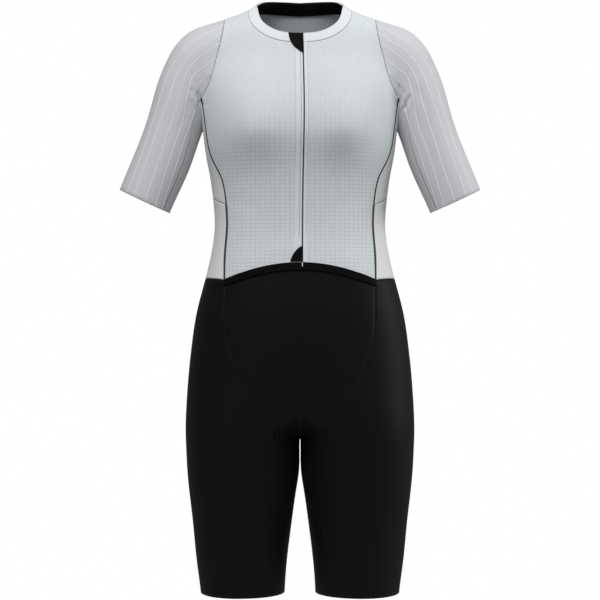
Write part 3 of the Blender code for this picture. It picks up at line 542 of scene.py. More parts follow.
def leg_point(z, angle):
    """A point on the left leg's ring: angle 0 faces the other leg, and 90 degrees the front."""
    lobe, middle, power = BODY["lobe"](z), BODY["middle"](z), 2 / BODY["square"](z)
    inner = lobe - fold(np.maximum(BODY["inner"](z), 0))
    outer = fold(BODY["width"](z)) - lobe
    c, s = np.cos(angle), np.sin(angle)
    side = lobe - np.where(c > 0, inner, outer) * np.sign(c) * np.abs(c) ** power
    deep = np.where(s > 0, middle - BODY["front"](z), BODY["back"](z) - middle)
    x = np.sqrt((side + CLEFT) ** 2 - CLEFT**2)
    return np.stack([x, middle - deep * np.sign(s) * np.abs(s) ** power, z + 0 * x], -1)


# ---------------------------------------------------------------- seam lines


def lengths(line):
    """Distance along a line at each of its points."""
    steps = np.linalg.norm(np.diff(line, axis=0), axis=1)
    return np.concatenate([[0], np.cumsum(steps)])


def shares(line):
    run = lengths(line)
    return run / run[-1]


def spaced(line, count):
    """count + 1 points, evenly spaced along a line of many points."""
    run = lengths(line)
    wanted = np.linspace(0, run[-1], count + 1)
    return np.stack([np.interp(wanted, run, line[:, i]) for i in range(line.shape[1])], -1)


def smooth(points, count):
    """count * FINE + 1 evenly spaced points of a smooth line through a few."""
    points = np.asarray(points, float)
    run = lengths(points)
    return spaced(spline(run, points)(np.linspace(0, run[-1], count * FINE)), count * FINE)


def curve(points, count):
    """count + 1 evenly spaced points on the form, of a smooth line near a few points. It keeps their ends."""
    line = spaced(settle(smooth(points, count)), count)
    line[0], line[-1] = points[0], points[-1]
    return line


def flat_curve(rows, side, count):
    """The same for a line given by its x and z in the front view, on the form's front (-1) or back (1)."""
    path = smooth(np.asarray(rows, float), count)
    return spaced(on_side(path[:, 0], path[:, 1], side), count)


def join(*lines):
    """Lines that follow each other, as one."""
    return np.concatenate([lines[0]] + [line[1:] for line in lines[1:]])


def arch(x):
    """Height of the fronts' hem."""
    return ARCH_TOP - (ARCH_TOP - WAIST_SEAM) * (x / ARCH_SIDE) ** 2


def sleeve_hem(angle):
    """A point of the sleeve's hem, whose plane is tilted against the arm."""
    half = ARM["half"](0 * angle)
    up = -half * np.cos(angle) * np.tan(SLEEVE_HEM_TILT)
    return arm_point(up, angle)


def torso_seams(seams):
    """The princess, armhole, underarm, cross and shoulder seams of the wearer's left half."""
    rows = np.array(PRINCESS_ROWS) * MM
    for side, name in SIDES:
        line = on_side(*smooth(rows, LONG_FINE).T, side)
        split = int(np.argmin(np.abs(line[:, 2] - CROSS_SEAM)))
        seams["princess_high_" + name] = spaced(line[: split + 1], PRINCESS_HIGH)
        seams["princess_low_" + name] = spaced(line[split:], PRINCESS_LOW)
    pits = [seams["princess_high_" + name][0] for _, name in SIDES]
    splits = [seams["princess_low_" + name][0] for _, name in SIDES]

    tip = settle(np.array(SHOULDER_TIP) * MM)
    front, back = (on_side(*(np.array(ARMHOLE_ROWS) * MM).T, side) for side, _ in SIDES)
    line = settle(smooth(np.concatenate([pits[:1], front, [tip], back[::-1], pits[1:]]), LONG_FINE))
    split = int(np.argmin(np.linalg.norm(line - tip, axis=1)))
    seams["armhole_front"] = spaced(line[: split + 1], ARMHOLE)
    seams["armhole_back"] = spaced(line[split:], ARMHOLE)
    seams["armhole_front"][0], seams["armhole_back"][-1] = pits
    seams["underarm"] = curve(np.concatenate([pits[:1], np.array(UNDERARM_ROWS) * MM, pits[1:]]), SIDE_ROUND)
    middle = np.array([CROSS_MIDDLE]) * MM
    seams["cross"] = curve(np.concatenate([splits[:1], middle, splits[1:]]), SIDE_ROUND)


def neck_seams(seams):
    """The back neckline, the shoulder seam and the middle of the back."""
    neck = settle(smooth(np.concatenate([[NECK_POINT], NECK_BACK_ROWS]) * MM, NECK))
    seams["neck_back"] = spaced(neck, NECK)
    shoulder = settle(smooth(np.stack([seams["neck_back"][0], seams["armhole_back"][0]]), SHOULDER))
    seams["shoulder"] = spaced(shoulder, SHOULDER)
    top = seams["neck_back"][-1]
    line = [(0, top[2]), (0, (top[2] + WAIST_SEAM) / 2), (0, WAIST_SEAM)]
    seams["centre_back"] = flat_curve(line, 1, TORSO)
    seams["centre_back"][0] = top


def waist_seams(seams):
    """The waist seam from the band's end round to the middle of the back."""
    corners = [seams["princess_low_" + name][-1] for _, name in SIDES]
    around = np.array([WAIST_SIDE]) * MM
    seams["waist_side"] = curve(np.concatenate([corners[:1], around, corners[1:]]), SIDE_ROUND)
    line = [(corners[1][0], WAIST_SEAM), (corners[1][0] / 2, WAIST_SEAM), (0, WAIST_SEAM)]
    seams["waist_back"] = flat_curve(line, 1, NECK)
    seams["waist_back"][0] = corners[1]


def shorts_seams(seams):
    """The seams between the shorts' front, legs and gusset, and the hem."""
    corner = seams["waist_side"][0]
    rows = np.array(SHORTS_SEAM_ROWS) * MM
    seams["shorts"] = flat_curve(np.concatenate([corner[None, ::2], rows]), -1, FRONT_DROP)
    seams["shorts"][0] = corner
    seat = [(0, WAIST_SEAM), (0, (WAIST_SEAM + GUSSET_BACK) / 2), (0, GUSSET_BACK)]
    seams["centre_seat"] = flat_curve(seat, 1, FRONT_DROP)
    (x, z) = rows[-1]
    seams["front_bottom"] = flat_curve([(x, z), (0, z)], -1, FRONT_HALF)
    tops = {"front": seams["front_bottom"][0], "back": seams["centre_seat"][-1]}
    bends = {"front": GUSSET_FRONT_ROW, "back": GUSSET_BACK_ROW}
    for side, name in SIDES:
        z = np.linspace(GUSSET_CORNER, LEG_HEM, LEG_DROP * FINE)
        leg = leg_point(z, 0 * z - side * INSEAM_ANGLE)
        above = flat_curve([tops[name][::2], np.array(bends[name]) * MM, leg[0][::2]], side, GUSSET_DROP)
        above[0], above[-1] = tops[name], leg[0]
        seams["gusset_" + name] = join(above, spaced(leg, LEG_DROP))
    front, back = seams["front_bottom"][-1], tops["back"]
    y = np.linspace(front[1], back[1], CLEFT_ROUND * FINE)
    z = np.interp(y, [front[1], 0, back[1]], [front[2], CROTCH, back[2]])
    seams["cleft"] = spaced(settle(np.stack([0 * y, y, z], -1)), CLEFT_ROUND)
    seams["cleft"][0], seams["cleft"][-1] = front, back
    inner, outer = (-INSEAM_ANGLE, FRONT_HALF + CLEFT_ROUND), (TURN - INSEAM_ANGLE, SIDE_ROUND + NECK)
    for name, (end, count) in (("hem_in", inner), ("hem_out", outer)):
        turn = np.linspace(INSEAM_ANGLE, end, count * FINE)
        seams[name] = spaced(leg_point(LEG_HEM + 0 * turn, turn), count)


def sleeve_seams(seams):
    """The seams under the sleeve, and its hem."""
    ups, angles = np.array(UNDERSLEEVE_ROWS).T
    angles = np.radians(angles)
    for (side, name), pit in zip(SIDES, (seams["underarm"][0], seams["underarm"][-1])):
        line = arm_point(ups * MM, -side * angles)
        line[-1] = sleeve_hem(-side * angles[-1])
        seams["sleeve_" + name] = curve(np.concatenate([[pit], line]), SLEEVE_DROP)
    outer, inner = (TURN - angles[-1], 2 * ARMHOLE), (-angles[-1], SIDE_ROUND)
    for name, (end, count) in (("cuff_out", outer), ("cuff_in", inner)):
        turn = np.linspace(angles[-1], end, count * FINE)
        seams[name] = spaced(settle(sleeve_hem(turn)), count)
        seams[name][0], seams[name][-1] = seams["sleeve_front"][-1], seams["sleeve_back"][-1]


def left_seams():
    """Every seam line of the wearer's left half, by name. They run down, out from the middle or backwards."""
    seams = {}
    torso_seams(seams)
    neck_seams(seams)
    waist_seams(seams)
    shorts_seams(seams)
    sleeve_seams(seams)
    return seams


# ---------------------------------------------------------------- panels


def cast(start, way):
    """The first points outwards where lines from inside leave the form."""
    near, far = np.zeros(way.shape[:-1]), np.full(way.shape[:-1], CAST_STEP)
    for _ in range(CAST_STEPS):
        inside = form(start + way * far[..., None]) < 0
        near, far = np.where(inside, far, near), np.where(inside, far + CAST_STEP, far)
    for _ in range(HALVINGS):
        half = (near + far) / 2
        inside = form(start + way * half[..., None]) < 0
        near, far = np.where(inside, half, near), np.where(inside, far, half)
    return start + way * near[..., None]


def torso_chart(side):
    """Turn about the body from its front (-1) or back (1), and height, fanned out above the chest."""

    def read(points):
        x, y, z = np.moveaxis(points, -1, 0)
        y = side * (y - BODY["middle"](np.minimum(z, FAN)))
        rise = np.arctan2(np.maximum(z - FAN, 0), np.hypot(x, y))
        return np.stack([np.arctan2(x, y), np.minimum(z, FAN) + rise * FAN_REACH], -1)

    def draw(chart):
        turn, height = chart[..., 0], chart[..., 1]
        low, rise = np.minimum(height, FAN), np.maximum(height - FAN, 0) / FAN_REACH
        way = [np.sin(turn) * np.cos(rise), side * np.cos(turn) * np.cos(rise), np.sin(rise)]
        return cast(np.stack([0 * low, BODY["middle"](low), low], -1), np.stack(way, -1))

    return read, draw


def front_chart():
    """Place across and up the front, as seen from above it at FRONT_VIEW."""
    up = np.array([0, np.sin(FRONT_VIEW), np.cos(FRONT_VIEW)])

    def read(points):
        return np.stack([points[..., 0], points @ up], -1)

    def draw(chart):
        x, height = chart[..., 0], chart[..., 1]
        deep = SHOULDER_TIP[1] * MM
        start = np.stack([x, deep + 0 * x, (height - deep * up[1]) / up[2]], -1)
        return cast(start, np.array([0, -up[2], up[1]]) + 0 * start)

    return read, draw


def leg_chart(outside):
    """Turn about the left leg, from the side that faces the other leg by the front, and height."""

    def read(points):
        x, y, z = np.moveaxis(points, -1, 0)
        turn = np.arctan2(BODY["middle"](z) - y, BODY["lobe"](z) - x)
        return np.stack([turn % TURN if outside else turn, z], -1)

    def draw(chart):
        turn, z = chart[..., 0], chart[..., 1]
        start = np.stack([BODY["lobe"](z), BODY["middle"](z), z], -1)
        return cast(start, np.stack([-np.cos(turn), -np.sin(turn), 0 * z], -1))

    return read, draw


def arm_chart(outside):
    """Turn about the left arm, from the side that faces the body by the front, and distance up it."""
    across, along = np.array([np.cos(SLEEVE_LEAN), 0, np.sin(SLEEVE_LEAN)]), np.array([0, 1, 0])
    axis = np.array([-np.sin(SLEEVE_LEAN), 0, np.cos(SLEEVE_LEAN)])
    hem = np.array([SLEEVE_HEM[0], 0, SLEEVE_HEM[1]])

    def read(points):
        up, off = (points - hem) @ axis, (points - hem) @ across
        turn = np.arctan2(ARM["fore"](up) - points[..., 1], ARM["centre"](up) - off)
        return np.stack([turn % TURN if outside else turn, up], -1)

    def draw(chart):
        turn, up = chart[..., :1], chart[..., 1:]
        start = hem + up * axis + ARM["centre"](up) * across + ARM["fore"](up) * along
        return cast(start, -np.cos(turn) * across - np.sin(turn) * along)

    return read, draw


def patch(top, bottom, left, right, chart):
    """A grid of points between four seam lines, drawn on to the form. top and bottom run left to right."""
    u = ((shares(top) + shares(bottom)) / 2)[None, :, None]
    v = ((shares(left) + shares(right)) / 2)[:, None, None]
    read, draw = chart
    top_at, bottom_at, left_at, right_at = (read(line) for line in (top, bottom, left, right))
    across = (1 - u) * left_at[:, None] + u * right_at[:, None]
    down = (1 - v) * top_at[None] + v * bottom_at[None]
    corners_above = (1 - u) * top_at[0] + u * top_at[-1]
    corners_below = (1 - u) * bottom_at[0] + u * bottom_at[-1]
    flat = across + down - (1 - v) * corners_above - v * corners_below
    for _ in range(EVENING):
        around = flat[:-2, 1:-1] + flat[2:, 1:-1] + flat[1:-1, :-2] + flat[1:-1, 2:]
        flat[1:-1, 1:-1] = around / 4
    grid = np.zeros((len(left), len(top), 3))
    grid[1:-1, 1:-1] = draw(flat[1:-1, 1:-1])
    grid[0], grid[-1], grid[:, 0], grid[:, -1] = top, bottom, left, right
    return grid


def mirrored(grid):
    """The same grid on the wearer's right, turned so that it still runs from left to right."""
    return grid * (-1, 1, 1)


# ---------------------------------------------------------------- sizes and colours


def length(name, default, description):
    return FloatProperty(
        name=name, default=default, description=description, min=0, unit="LENGTH", precision=5
    )


def colour(name, default, description):
    return FloatVectorProperty(
        name=name, default=default, description=description, size=3, min=0, max=1, subtype="COLOR"
    )


class SuitSizes(bpy.types.PropertyGroup):
    cloth: length("Cloth", 1.3 * MM, "Thickness of the panels' cloth")
    band: length("Bands", 1.7 * MM, "Thickness of the neckband and the waistband")
    tape: length("Tape", 0.9 * MM, "Thickness of the zip tape, the facing and the zip's covers")
    line_width: length("Sleeve line width", 1.3 * MM, "Width of the raised lines on the sleeves")
    line_height: length("Sleeve line height", 0.4 * MM, "Height of the raised lines on the sleeves")
    seam: length("Flat seam", 2.7 * MM, "Width of the dark flat seams at the side panels")
    strip: length("Flat seam strip", 5.4 * MM, "Width of the tape under the lower flat seams")
    groove: length("Seam line", 1.1 * MM, "Width of the thin seams between the other panels")
    bead: length("Edge bead", 1.3 * MM, "Width of the rolled edges of the neck, hems and covers")
    stitch: length("Stitch", 2.4 * MM, "Length of one stitch")
    stitch_gap: length("Stitch gap", 0.9 * MM, "Gap between two stitches")
    thread: length("Thread", 0.55 * MM, "Thickness of the sewing thread")


class SuitColours(bpy.types.PropertyGroup):
    mesh: colour("Mesh", (0.70, 0.73, 0.755), "Knit of the fronts and the back")
    # Painted shade: the dark colour of the mesh's holes, and of the lines and ribs of its knit, stands for
    # the shade seen in them.
    mesh_hole_shade: colour("Mesh holes", (0.27, 0.29, 0.305), "Small holes of the mesh")
    side: colour("Side knit", (0.76, 0.765, 0.755), "Knit of the side panels")
    sleeve: colour("Sleeve cloth", (0.61, 0.615, 0.64), "Stretch cloth of the sleeves")
    line: colour("Sleeve lines", (0.84, 0.85, 0.87), "Raised lines on the sleeves")
    band: colour("Zip bands", (0.725, 0.75, 0.77), "Doubled cloth beside the zip and at the hem")
    neck: colour("Neckband", (0.76, 0.785, 0.80), "Trim at the neck and beside the zip")
    seam: colour("Flat seams", (0.03, 0.034, 0.036), "Thread of the flat seams at the side panels")
    strip: colour("Flat seam strip", (0.17, 0.178, 0.18), "Tape under the flat seams")
    # Painted shade: the thin seams' thread is dark for the shade in the grooves they lie in.
    groove: colour("Seam lines", (0.22, 0.225, 0.235), "Shaded thread of the thin seams")
    # This thread colour also paints the soft shade lines at the folds beside the zip.
    thread: colour("Thread", (0.36, 0.38, 0.40), "Thread of the stitches beside the zip")
    black: colour("Black knit", (0.0052, 0.0052, 0.0054), "Knit of the shorts")
    trim: colour("Black trim", (0.0028, 0.0028, 0.003), "Waistband, facing, zip tape and the zip's covers")
    zip: colour("Zip teeth", (0.045, 0.05, 0.052), "Teeth of the zip")
    floor: colour("Floor", (0.88, 0.88, 0.88), "Floor under the suit")


def sizes():
    return bpy.context.scene.suit_sizes


def colours():
    return bpy.context.scene.suit_colours


# ---------------------------------------------------------------- materials


class Nodes:
    """A material's nodes, made one after the other."""

    def __init__(self, name):
        self.material = bpy.data.materials.new(name)
        self.material.use_nodes = True
        self.tree = self.material.node_tree
        self.shader = self.tree.nodes["Principled BSDF"]

    def add(self, kind, inputs=(), **settings):
        made = self.tree.nodes.new("ShaderNode" + kind)
        for key, value in settings.items():
            setattr(made, key, value)
        for key, value in dict(inputs).items():
            self.join(value, made.inputs[key])
        return made

    def join(self, value, socket):
        if isinstance(value, bpy.types.NodeSocket):
            self.tree.links.new(value, socket)
        else:
            socket.default_value = value

    def maths(self, operation, *values, clamp=False):
        return self.add("Math", dict(enumerate(values)), operation=operation, use_clamp=clamp).outputs[0]

    def mix(self, share, a, b):
        made = self.add("Mix", {0: share}, data_type="RGBA")
        for key, value in ((6, a), (7, b)):
            self.join(value if isinstance(value, bpy.types.NodeSocket) else (*value, 1), made.inputs[key])
        return made.outputs[2]

    def cloth_place(self):
        """Distances across and along the cloth, in mm, from its own map."""
        place = self.add("UVMap", uv_map="cloth").outputs[0]
        parts = self.add("SeparateXYZ", {0: place}).outputs
        return self.maths("MULTIPLY", parts[0], 1000), self.maths("MULTIPLY", parts[1], 1000)

    def noise(self, scale, detail=2, stretch=(1, 1, 1)):
        place = self.add("TexCoord").outputs["Object"]
        place = self.add("Mapping", {"Vector": place, "Scale": stretch}).outputs[0]
        return self.add("TexNoise", {"Vector": place, "Scale": scale, "Detail": detail}).outputs[0]

    def every(self, place, period, half_width, soft):
        """1 on a line that comes back each period, easing to 0 over soft on either side."""
        off = self.maths("PINGPONG", place, period / 2)
        return self.ease(off, half_width, half_width + soft, 1, 0)

    def ease(self, value, start, end, first, last):
        """first up to start and last from end on, easing from one to the other between."""
        places = {0: value, 1: start, 2: end, 3: first, 4: last}
        return self.add("MapRange", places, interpolation_type="SMOOTHSTEP").outputs[0]

    def bump(self, height, distance, strength=1):
        made = self.add("Bump", {"Height": height, "Distance": distance, "Strength": strength})
        self.join(made.outputs[0], self.shader.inputs["Normal"])

    def finish(self, base, roughness, sheen=0, sheen_roughness=0.5, specular=0.3):
        base = base if isinstance(base, bpy.types.NodeSocket) else (*base, 1)
        self.join(base, self.shader.inputs["Base Color"])
        self.join(roughness, self.shader.inputs["Roughness"])
        self.shader.inputs["Sheen Weight"].default_value = sheen
        self.shader.inputs["Sheen Roughness"].default_value = sheen_roughness
        self.shader.inputs["Specular IOR Level"].default_value = specular
        return self.material


def mesh_knit(name, base, hole_shade):
    """A ribbed knit with rows of small holes, painted dark with the shade seen in them and in its ribs; this
    painted shade is fainter at the chest, where it is lit.
    """
    made = Nodes(name)
    across, down = made.cloth_place()
    height = made.add("SeparateXYZ", {0: made.add("TexCoord").outputs["Object"]}).outputs[2]
    # Painted light: the holes' painted shade is strong low on the body, in shade, and fades on the lit upper
    # chest.
    hole_shade_share = made.ease(height, *HOLES_LIT_FADE, 1, HOLES_LEFT_LIT)
    column = made.every(across, HOLE_ACROSS, 0.3, 0.7)
    row = made.every(down, HOLE_DOWN, 0.3, 0.8)
    spots = made.noise(130, 1)
    rib = made.every(across, MESH_RIB, 0.25, 0.6)
    near = made.maths("POWER", made.maths("PINGPONG", across, HOLE_ACROSS / 2), 2)
    near_row = made.maths("POWER", made.maths("PINGPONG", down, HOLE_DOWN / 2), 2)
    away = made.maths("SQRT", made.maths("ADD", near, near_row))
    dot = made.ease(away, *HOLE_EDGE, 1, 0)
    streaks = made.noise(300, 2, (1, 1, 0.06))
    patches = made.noise(28, 2)
    lines = made.maths("MAXIMUM", made.maths("MULTIPLY", column, 0.35), made.maths("MULTIPLY", row, patches))
    # The holes, the lines and the ribs are mixed towards the painted hole shade colour.
    tone = made.mix(made.maths("MULTIPLY", streaks, 0.2), base, hole_shade)
    tinted = tuple(value * factor for value, factor in zip(base, MESH_TINT))
    tone = made.mix(made.maths("MULTIPLY", patches, 0.5), tone, tinted)
    tone = made.mix(made.maths("MULTIPLY", lines, made.maths("MULTIPLY", hole_shade_share, 0.16)), tone, hole_shade)
    tone = made.mix(made.maths("MULTIPLY", rib, made.maths("MULTIPLY", streaks, 0.16)), tone, hole_shade)
    tone = made.mix(made.maths("MULTIPLY", dot, made.maths("MULTIPLY", hole_shade_share, spots)), tone, hole_shade)
    low = made.maths("MAXIMUM", dot, made.maths("MULTIPLY", made.maths("ADD", rib, lines), 0.35))
    made.bump(made.maths("SUBTRACT", 1, low), 0.25 * MM, 0.5)
    return made.finish(tone, 0.85, sheen=0.08, specular=0.12)


def fine_knit(name, base, rib=1.2, depth=0.12, shade=0.06, roughness=0.75, sheen=0.1, specular=0.25):
    """A close knit with fine ribs along the cloth and small uneven tones."""
    made = Nodes(name)
    across, down = made.cloth_place()
    ribs = made.every(across, rib, rib * 0.12, rib * 0.3)
    stitches = made.every(down, rib * 1.3, rib * 0.1, rib * 0.35)
    uneven = made.noise(140, 3)
    pattern = made.maths("ADD", made.maths("MULTIPLY", ribs, 0.7), made.maths("MULTIPLY", stitches, 0.3))
    dark = tuple(0.55 * value for value in base)
    tone = made.mix(made.maths("MULTIPLY", pattern, shade), base, dark)
    tone = made.mix(made.maths("MULTIPLY", uneven, shade), tone, dark)
    made.bump(made.maths("SUBTRACT", uneven, made.maths("MULTIPLY", pattern, 0.6)), depth * MM, 0.5)
    return made.finish(tone, roughness, sheen=sheen, specular=specular)


def plain(name, base, roughness=0.6, metallic=0.0, specular=0.3, sheen=0.0):
    """A small hard or threaded part: its colour with a fine uneven tone."""
    made = Nodes(name)
    uneven = made.noise(400, 2)
    tone = made.mix(made.maths("MULTIPLY", uneven, 0.25), base, tuple(0.6 * value for value in base))
    made.shader.inputs["Metallic"].default_value = metallic
    made.bump(uneven, 0.05 * MM, 0.4)
    return made.finish(tone, roughness, sheen=sheen, specular=specular)


# The close knits: material, and settings of fine_knit; and the plain ones, with settings of plain
KNITS = {
    "side": ("side_knit", {}),
    "sleeve": ("sleeve_cloth", {"rib": 1.0, "depth": 0.06, "shade": 0.05, "specular": 0.2}),
    "band": ("doubled_cloth", {"rib": 1.2, "depth": 0.06, "shade": 0.08, "specular": 0.15}),
    "neck": ("neckband", {"rib": 1.0, "depth": 0.05, "roughness": 0.7, "specular": 0.2}),
    "black": (
        "black_knit",
        {"rib": 0.9, "depth": 0.08, "shade": 0.25, "roughness": 0.55, "sheen": 0.01, "specular": 0.1},
    ),
    "trim": (
        "black_trim",
        {"rib": 0.8, "depth": 0.05, "shade": 0.3, "roughness": 0.65, "sheen": 0.0, "specular": 0.06},
    ),
}
PLAINS = {
    "line": ("sleeve_line", {"roughness": 0.5}),
    "seam": ("flat_seam", {"roughness": 0.8, "specular": 0.1}),
    "strip": ("flat_seam_strip", {"roughness": 0.8, "specular": 0.15}),
    "groove": ("seam_line", {"roughness": 0.8, "specular": 0.1}),
    "thread": ("thread", {"roughness": 0.7}),
    "zip": ("zip_teeth", {"roughness": 0.4, "specular": 0.4}),
}


def finish_of(name):
    key = "finish_" + name
    found = bpy.data.materials.get(key)
    if found:
        return found
    base = getattr(colours(), name)
    if name == "mesh":
        made = mesh_knit("mesh", base, colours().mesh_hole_shade)
    else:
        kind, table = (fine_knit, KNITS) if name in KNITS else (plain, PLAINS)
        label, settings = table[name]
        made = kind(label, base, **settings)
    made.name = key
    return made


# ---------------------------------------------------------------- cloth


def creases(points):
    """How far the cloth sinks into its soft creases, at points on the form."""
    x, y, z = np.moveaxis(points, -1, 0)
    front = np.clip(y / (20 * MM), -1, 1)
    depth = np.zeros(x.shape)
    for side, x0, z0, x1, z1, width, deep in CREASES:
        start, way = np.array([x0, z0]) * MM, np.array([x1 - x0, z1 - z0]) * MM
        off_x, off_z = x - start[0], z - start[1]
        share = (off_x * way[0] + off_z * way[1]) / (way @ way)
        begun = np.clip((share + CREASE_ENDS) / CREASE_ENDS, 0, 1)
        along = begun * np.clip((1 + CREASE_ENDS - share) / CREASE_ENDS, 0, 1)
        across = (off_x * way[1] - off_z * way[0]) / np.sqrt(way @ way) / (width * MM)
        shape = np.exp(-(across**2))
        for place, height in CREASE_RIDGES:
            shape = shape - height * np.exp(-((across - place) ** 2))
        depth += deep * MM * along**2 * (3 - 2 * along) * shape * np.clip(side * front, 0, 1)
    return depth


def placed(points, lift=0):
    """Points on the form, moved off it by lift and by the creases."""
    return points + outward(points) * (lift - creases(points))[..., None]


def flat_map(grid):
    """Distances across and down the cloth at each point of a grid."""
    across = np.linalg.norm(np.diff(grid, axis=1), axis=2)
    down = np.linalg.norm(np.diff(grid, axis=0), axis=2)
    u = np.concatenate([np.zeros((len(grid), 1)), np.cumsum(across, axis=1)], axis=1)
    v = np.concatenate([np.zeros((1, grid.shape[1])), np.cumsum(down, axis=0)], axis=0)
    return np.stack([u - u[:, -1:] / 2, -v], -1)


def straight_map(grid):
    """The knit's own grain on the body: even distances round it, and height."""
    x, z = grid[..., 0], grid[..., 2]
    ring = on_side(np.linspace(0, 130 * MM, 60), np.full(60, -300 * MM), -1)
    run = lengths(ring)
    return np.stack([np.sign(x) * np.interp(np.abs(x), ring[:, 0], run), z], -1)


def finer(grid, times):
    """The grid with each cell split, times by times."""
    for axis in (0, 1):
        turned = np.moveaxis(grid, axis, 0)
        wanted = np.linspace(0, len(turned) - 1, (len(turned) - 1) * times + 1)
        below = np.minimum(wanted.astype(int), len(turned) - 2)
        share = (wanted - below)[:, None, None]
        grid = np.moveaxis(turned[below] * (1 - share) + turned[below + 1] * share, 0, axis)
    return grid


def sink(grid, seams):
    """How far a grid's points sink towards its top, bottom, left and right, where these are marked 1."""
    depth = np.zeros(grid.shape[:2])
    for axis in (0, 1):
        steps = np.linalg.norm(np.diff(grid, axis=axis), axis=2)
        start = np.zeros_like(grid.take([0], axis)[..., 0])
        run = np.concatenate([start, np.cumsum(steps, axis=axis)], axis=axis)
        for end, far in ((0, run), (1, run.take([-1], axis) - run)):
            if seams[2 * axis + end] == "1":
                near = np.clip(1 - far / SINK_WIDTH, 0, 1)
                depth = np.maximum(depth, near * near * (3 - 2 * near))
    return SINK_DEPTH * depth


def sheet_mesh(name, points, flat):
    """An open sheet: bmesh's grid, with its points moved to those of a grid and the cloth's own map."""
    rows, columns = points.shape[:2]
    shell = bmesh.new()
    bmesh.ops.create_grid(shell, x_segments=columns - 1, y_segments=rows - 1, size=0.5)
    mesh = bpy.data.meshes.new(name)
    shell.to_mesh(mesh)
    shell.free()
    mesh.vertices.foreach_set("co", points[::-1].ravel())
    corners = np.empty(len(mesh.loops), int)
    mesh.loops.foreach_get("vertex_index", corners)
    mesh.uv_layers.new(name="cloth").uv.foreach_set("vector", flat[::-1].reshape(-1, 2)[corners].ravel())
    mesh.update()
    facing = np.empty(3 * len(mesh.polygons))
    mesh.polygons.foreach_get("normal", facing)
    middles = np.empty(3 * len(mesh.polygons))
    mesh.polygons.foreach_get("center", middles)
    if (facing.reshape(-1, 3) * outward(middles.reshape(-1, 3))).sum() < 0:
        mesh.flip_normals()
    return mesh


def finished(name, meshes, material, wall=0):
    """A piece from one or more meshes, with its finish and its wall, riding on the body."""
    gathered = bmesh.new()
    for mesh in meshes:
        gathered.from_mesh(mesh)
        bpy.data.meshes.remove(mesh)
    bmesh.ops.remove_doubles(gathered, verts=gathered.verts, dist=WELD)
    mesh = bpy.data.meshes.new(name)
    gathered.to_mesh(mesh)
    gathered.free()
    mesh.materials.append(finish_of(material))
    mesh.shade_smooth()
    piece = bpy.data.objects.new(name, mesh)
    bpy.context.scene.collection.objects.link(piece)
    if wall:
        thick = piece.modifiers.new("wall", "SOLIDIFY")
        thick.thickness = wall
        thick.offset = -1
    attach(piece, BODY_NAME)
    return piece


def declare(grids):
    """Work out how large the cloth was cut: these grids' own width, length and area. Nothing further is done
    with them.
    """
    wide = sum(max(lengths(row)[-1] for row in grid) for grid in grids)
    long = max(lengths(column)[-1] for grid in grids for column in np.moveaxis(grid, 1, 0))
    area = 0
    for grid in grids:
        one, two = grid[1:, 1:] - grid[:-1, :-1], grid[1:, :-1] - grid[:-1, 1:]
        area += np.linalg.norm(np.cross(one, two), axis=2).sum() / 2
    wide, long = round(wide, 3), round(long, 3)


def panel(name, grids, material, seams="0000", lifts=None, flat=None, wall=None, times=2, sunk=1):
    """One panel of cloth that stands for the solid of the same name, from one grid or more that meet."""
    lifts = lifts or [0] * len(grids)
    meshes = []
    for grid, lift in zip(grids, lifts):
        lift = np.broadcast_to(lift, grid.shape[:2])
        packed = finer(np.concatenate([grid, lift[..., None]], -1), times)
        grid, lift = packed[..., :3], packed[..., 3]
        grid[1:-1, 1:-1] = settle(grid[1:-1, 1:-1])
        points = placed(grid, lift - sunk * sink(grid, seams))
        meshes.append(sheet_mesh(name, points, (flat or flat_map)(grid)))
    piece = finished(name + "_cloth", meshes, material, wall or sizes().cloth)
    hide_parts(name)
    declare(grids)
    return piece


def ribbon_mesh(line, width, height, lift=0):
    """A half-round raised line along some points of the form."""
    line = np.asarray(line, float)
    normals = outward(line)
    across = np.cross(np.gradient(line, axis=0), normals)
    across /= np.linalg.norm(across, axis=1, keepdims=True)
    turns = np.linspace(-np.pi / 2, np.pi / 2, RIBBON_SIDES + 1)
    base = line + normals * (lift - creases(line))[:, None]
    width = np.broadcast_to(width, len(line))[:, None, None]
    rise = np.cos(turns)[None, :, None] * height
    out = across[:, None] * np.sin(turns)[None, :, None] * width / 2
    points = base[:, None] + out + normals[:, None] * rise
    flat = np.stack(np.broadcast_arrays(np.sin(turns)[None] * width[:, :, 0] / 2, lengths(line)[:, None]), -1)
    return sheet_mesh("ribbon", points, flat)


def ribbons(name, lines, width, height, material, lift=0):
    """Raised lines of one kind, as one piece."""
    meshes = [ribbon_mesh(line, width, height, lift) for line in lines]
    piece = finished(name, meshes, material)
    return piece


def dotted(name, lines, unit, pitch, size, material, slot, lift=0):
    """Small copies of a rounded block, evenly spaced along lines on the form and turned with them."""
    block = bmesh.new()
    unit(block)
    bmesh.ops.scale(block, vec=size, verts=block.verts)
    seed = bpy.data.meshes.new("seed")
    block.to_mesh(seed)
    block.free()
    copies = []
    for line in lines:
        spots = spaced(line, max(int(lengths(line)[-1] / pitch), 1))
        middles = (spots[1:] + spots[:-1]) / 2
        along = spots[1:] - spots[:-1]
        along /= np.linalg.norm(along, axis=1, keepdims=True)
        normals = outward(middles)
        across = np.cross(normals, along)
        base = middles + normals * (lift - creases(middles))[:, None]
        for spot, a, b, n in zip(base, along, across, normals):
            copy = seed.copy()
            copy.transform(Matrix((*np.stack([a, b, n, spot], -1).tolist(), (0, 0, 0, 1))))
            copies.append(copy)
    bpy.data.meshes.remove(seed)
    piece = finished(name, copies, material)
    return piece


def thread_lump(block):
    bmesh.ops.create_uvsphere(block, u_segments=6, v_segments=4, radius=0.5)
    bmesh.ops.rotate(block, cent=(0, 0, 0), matrix=Matrix.Rotation(np.pi / 2, 3, "Y"), verts=block.verts)


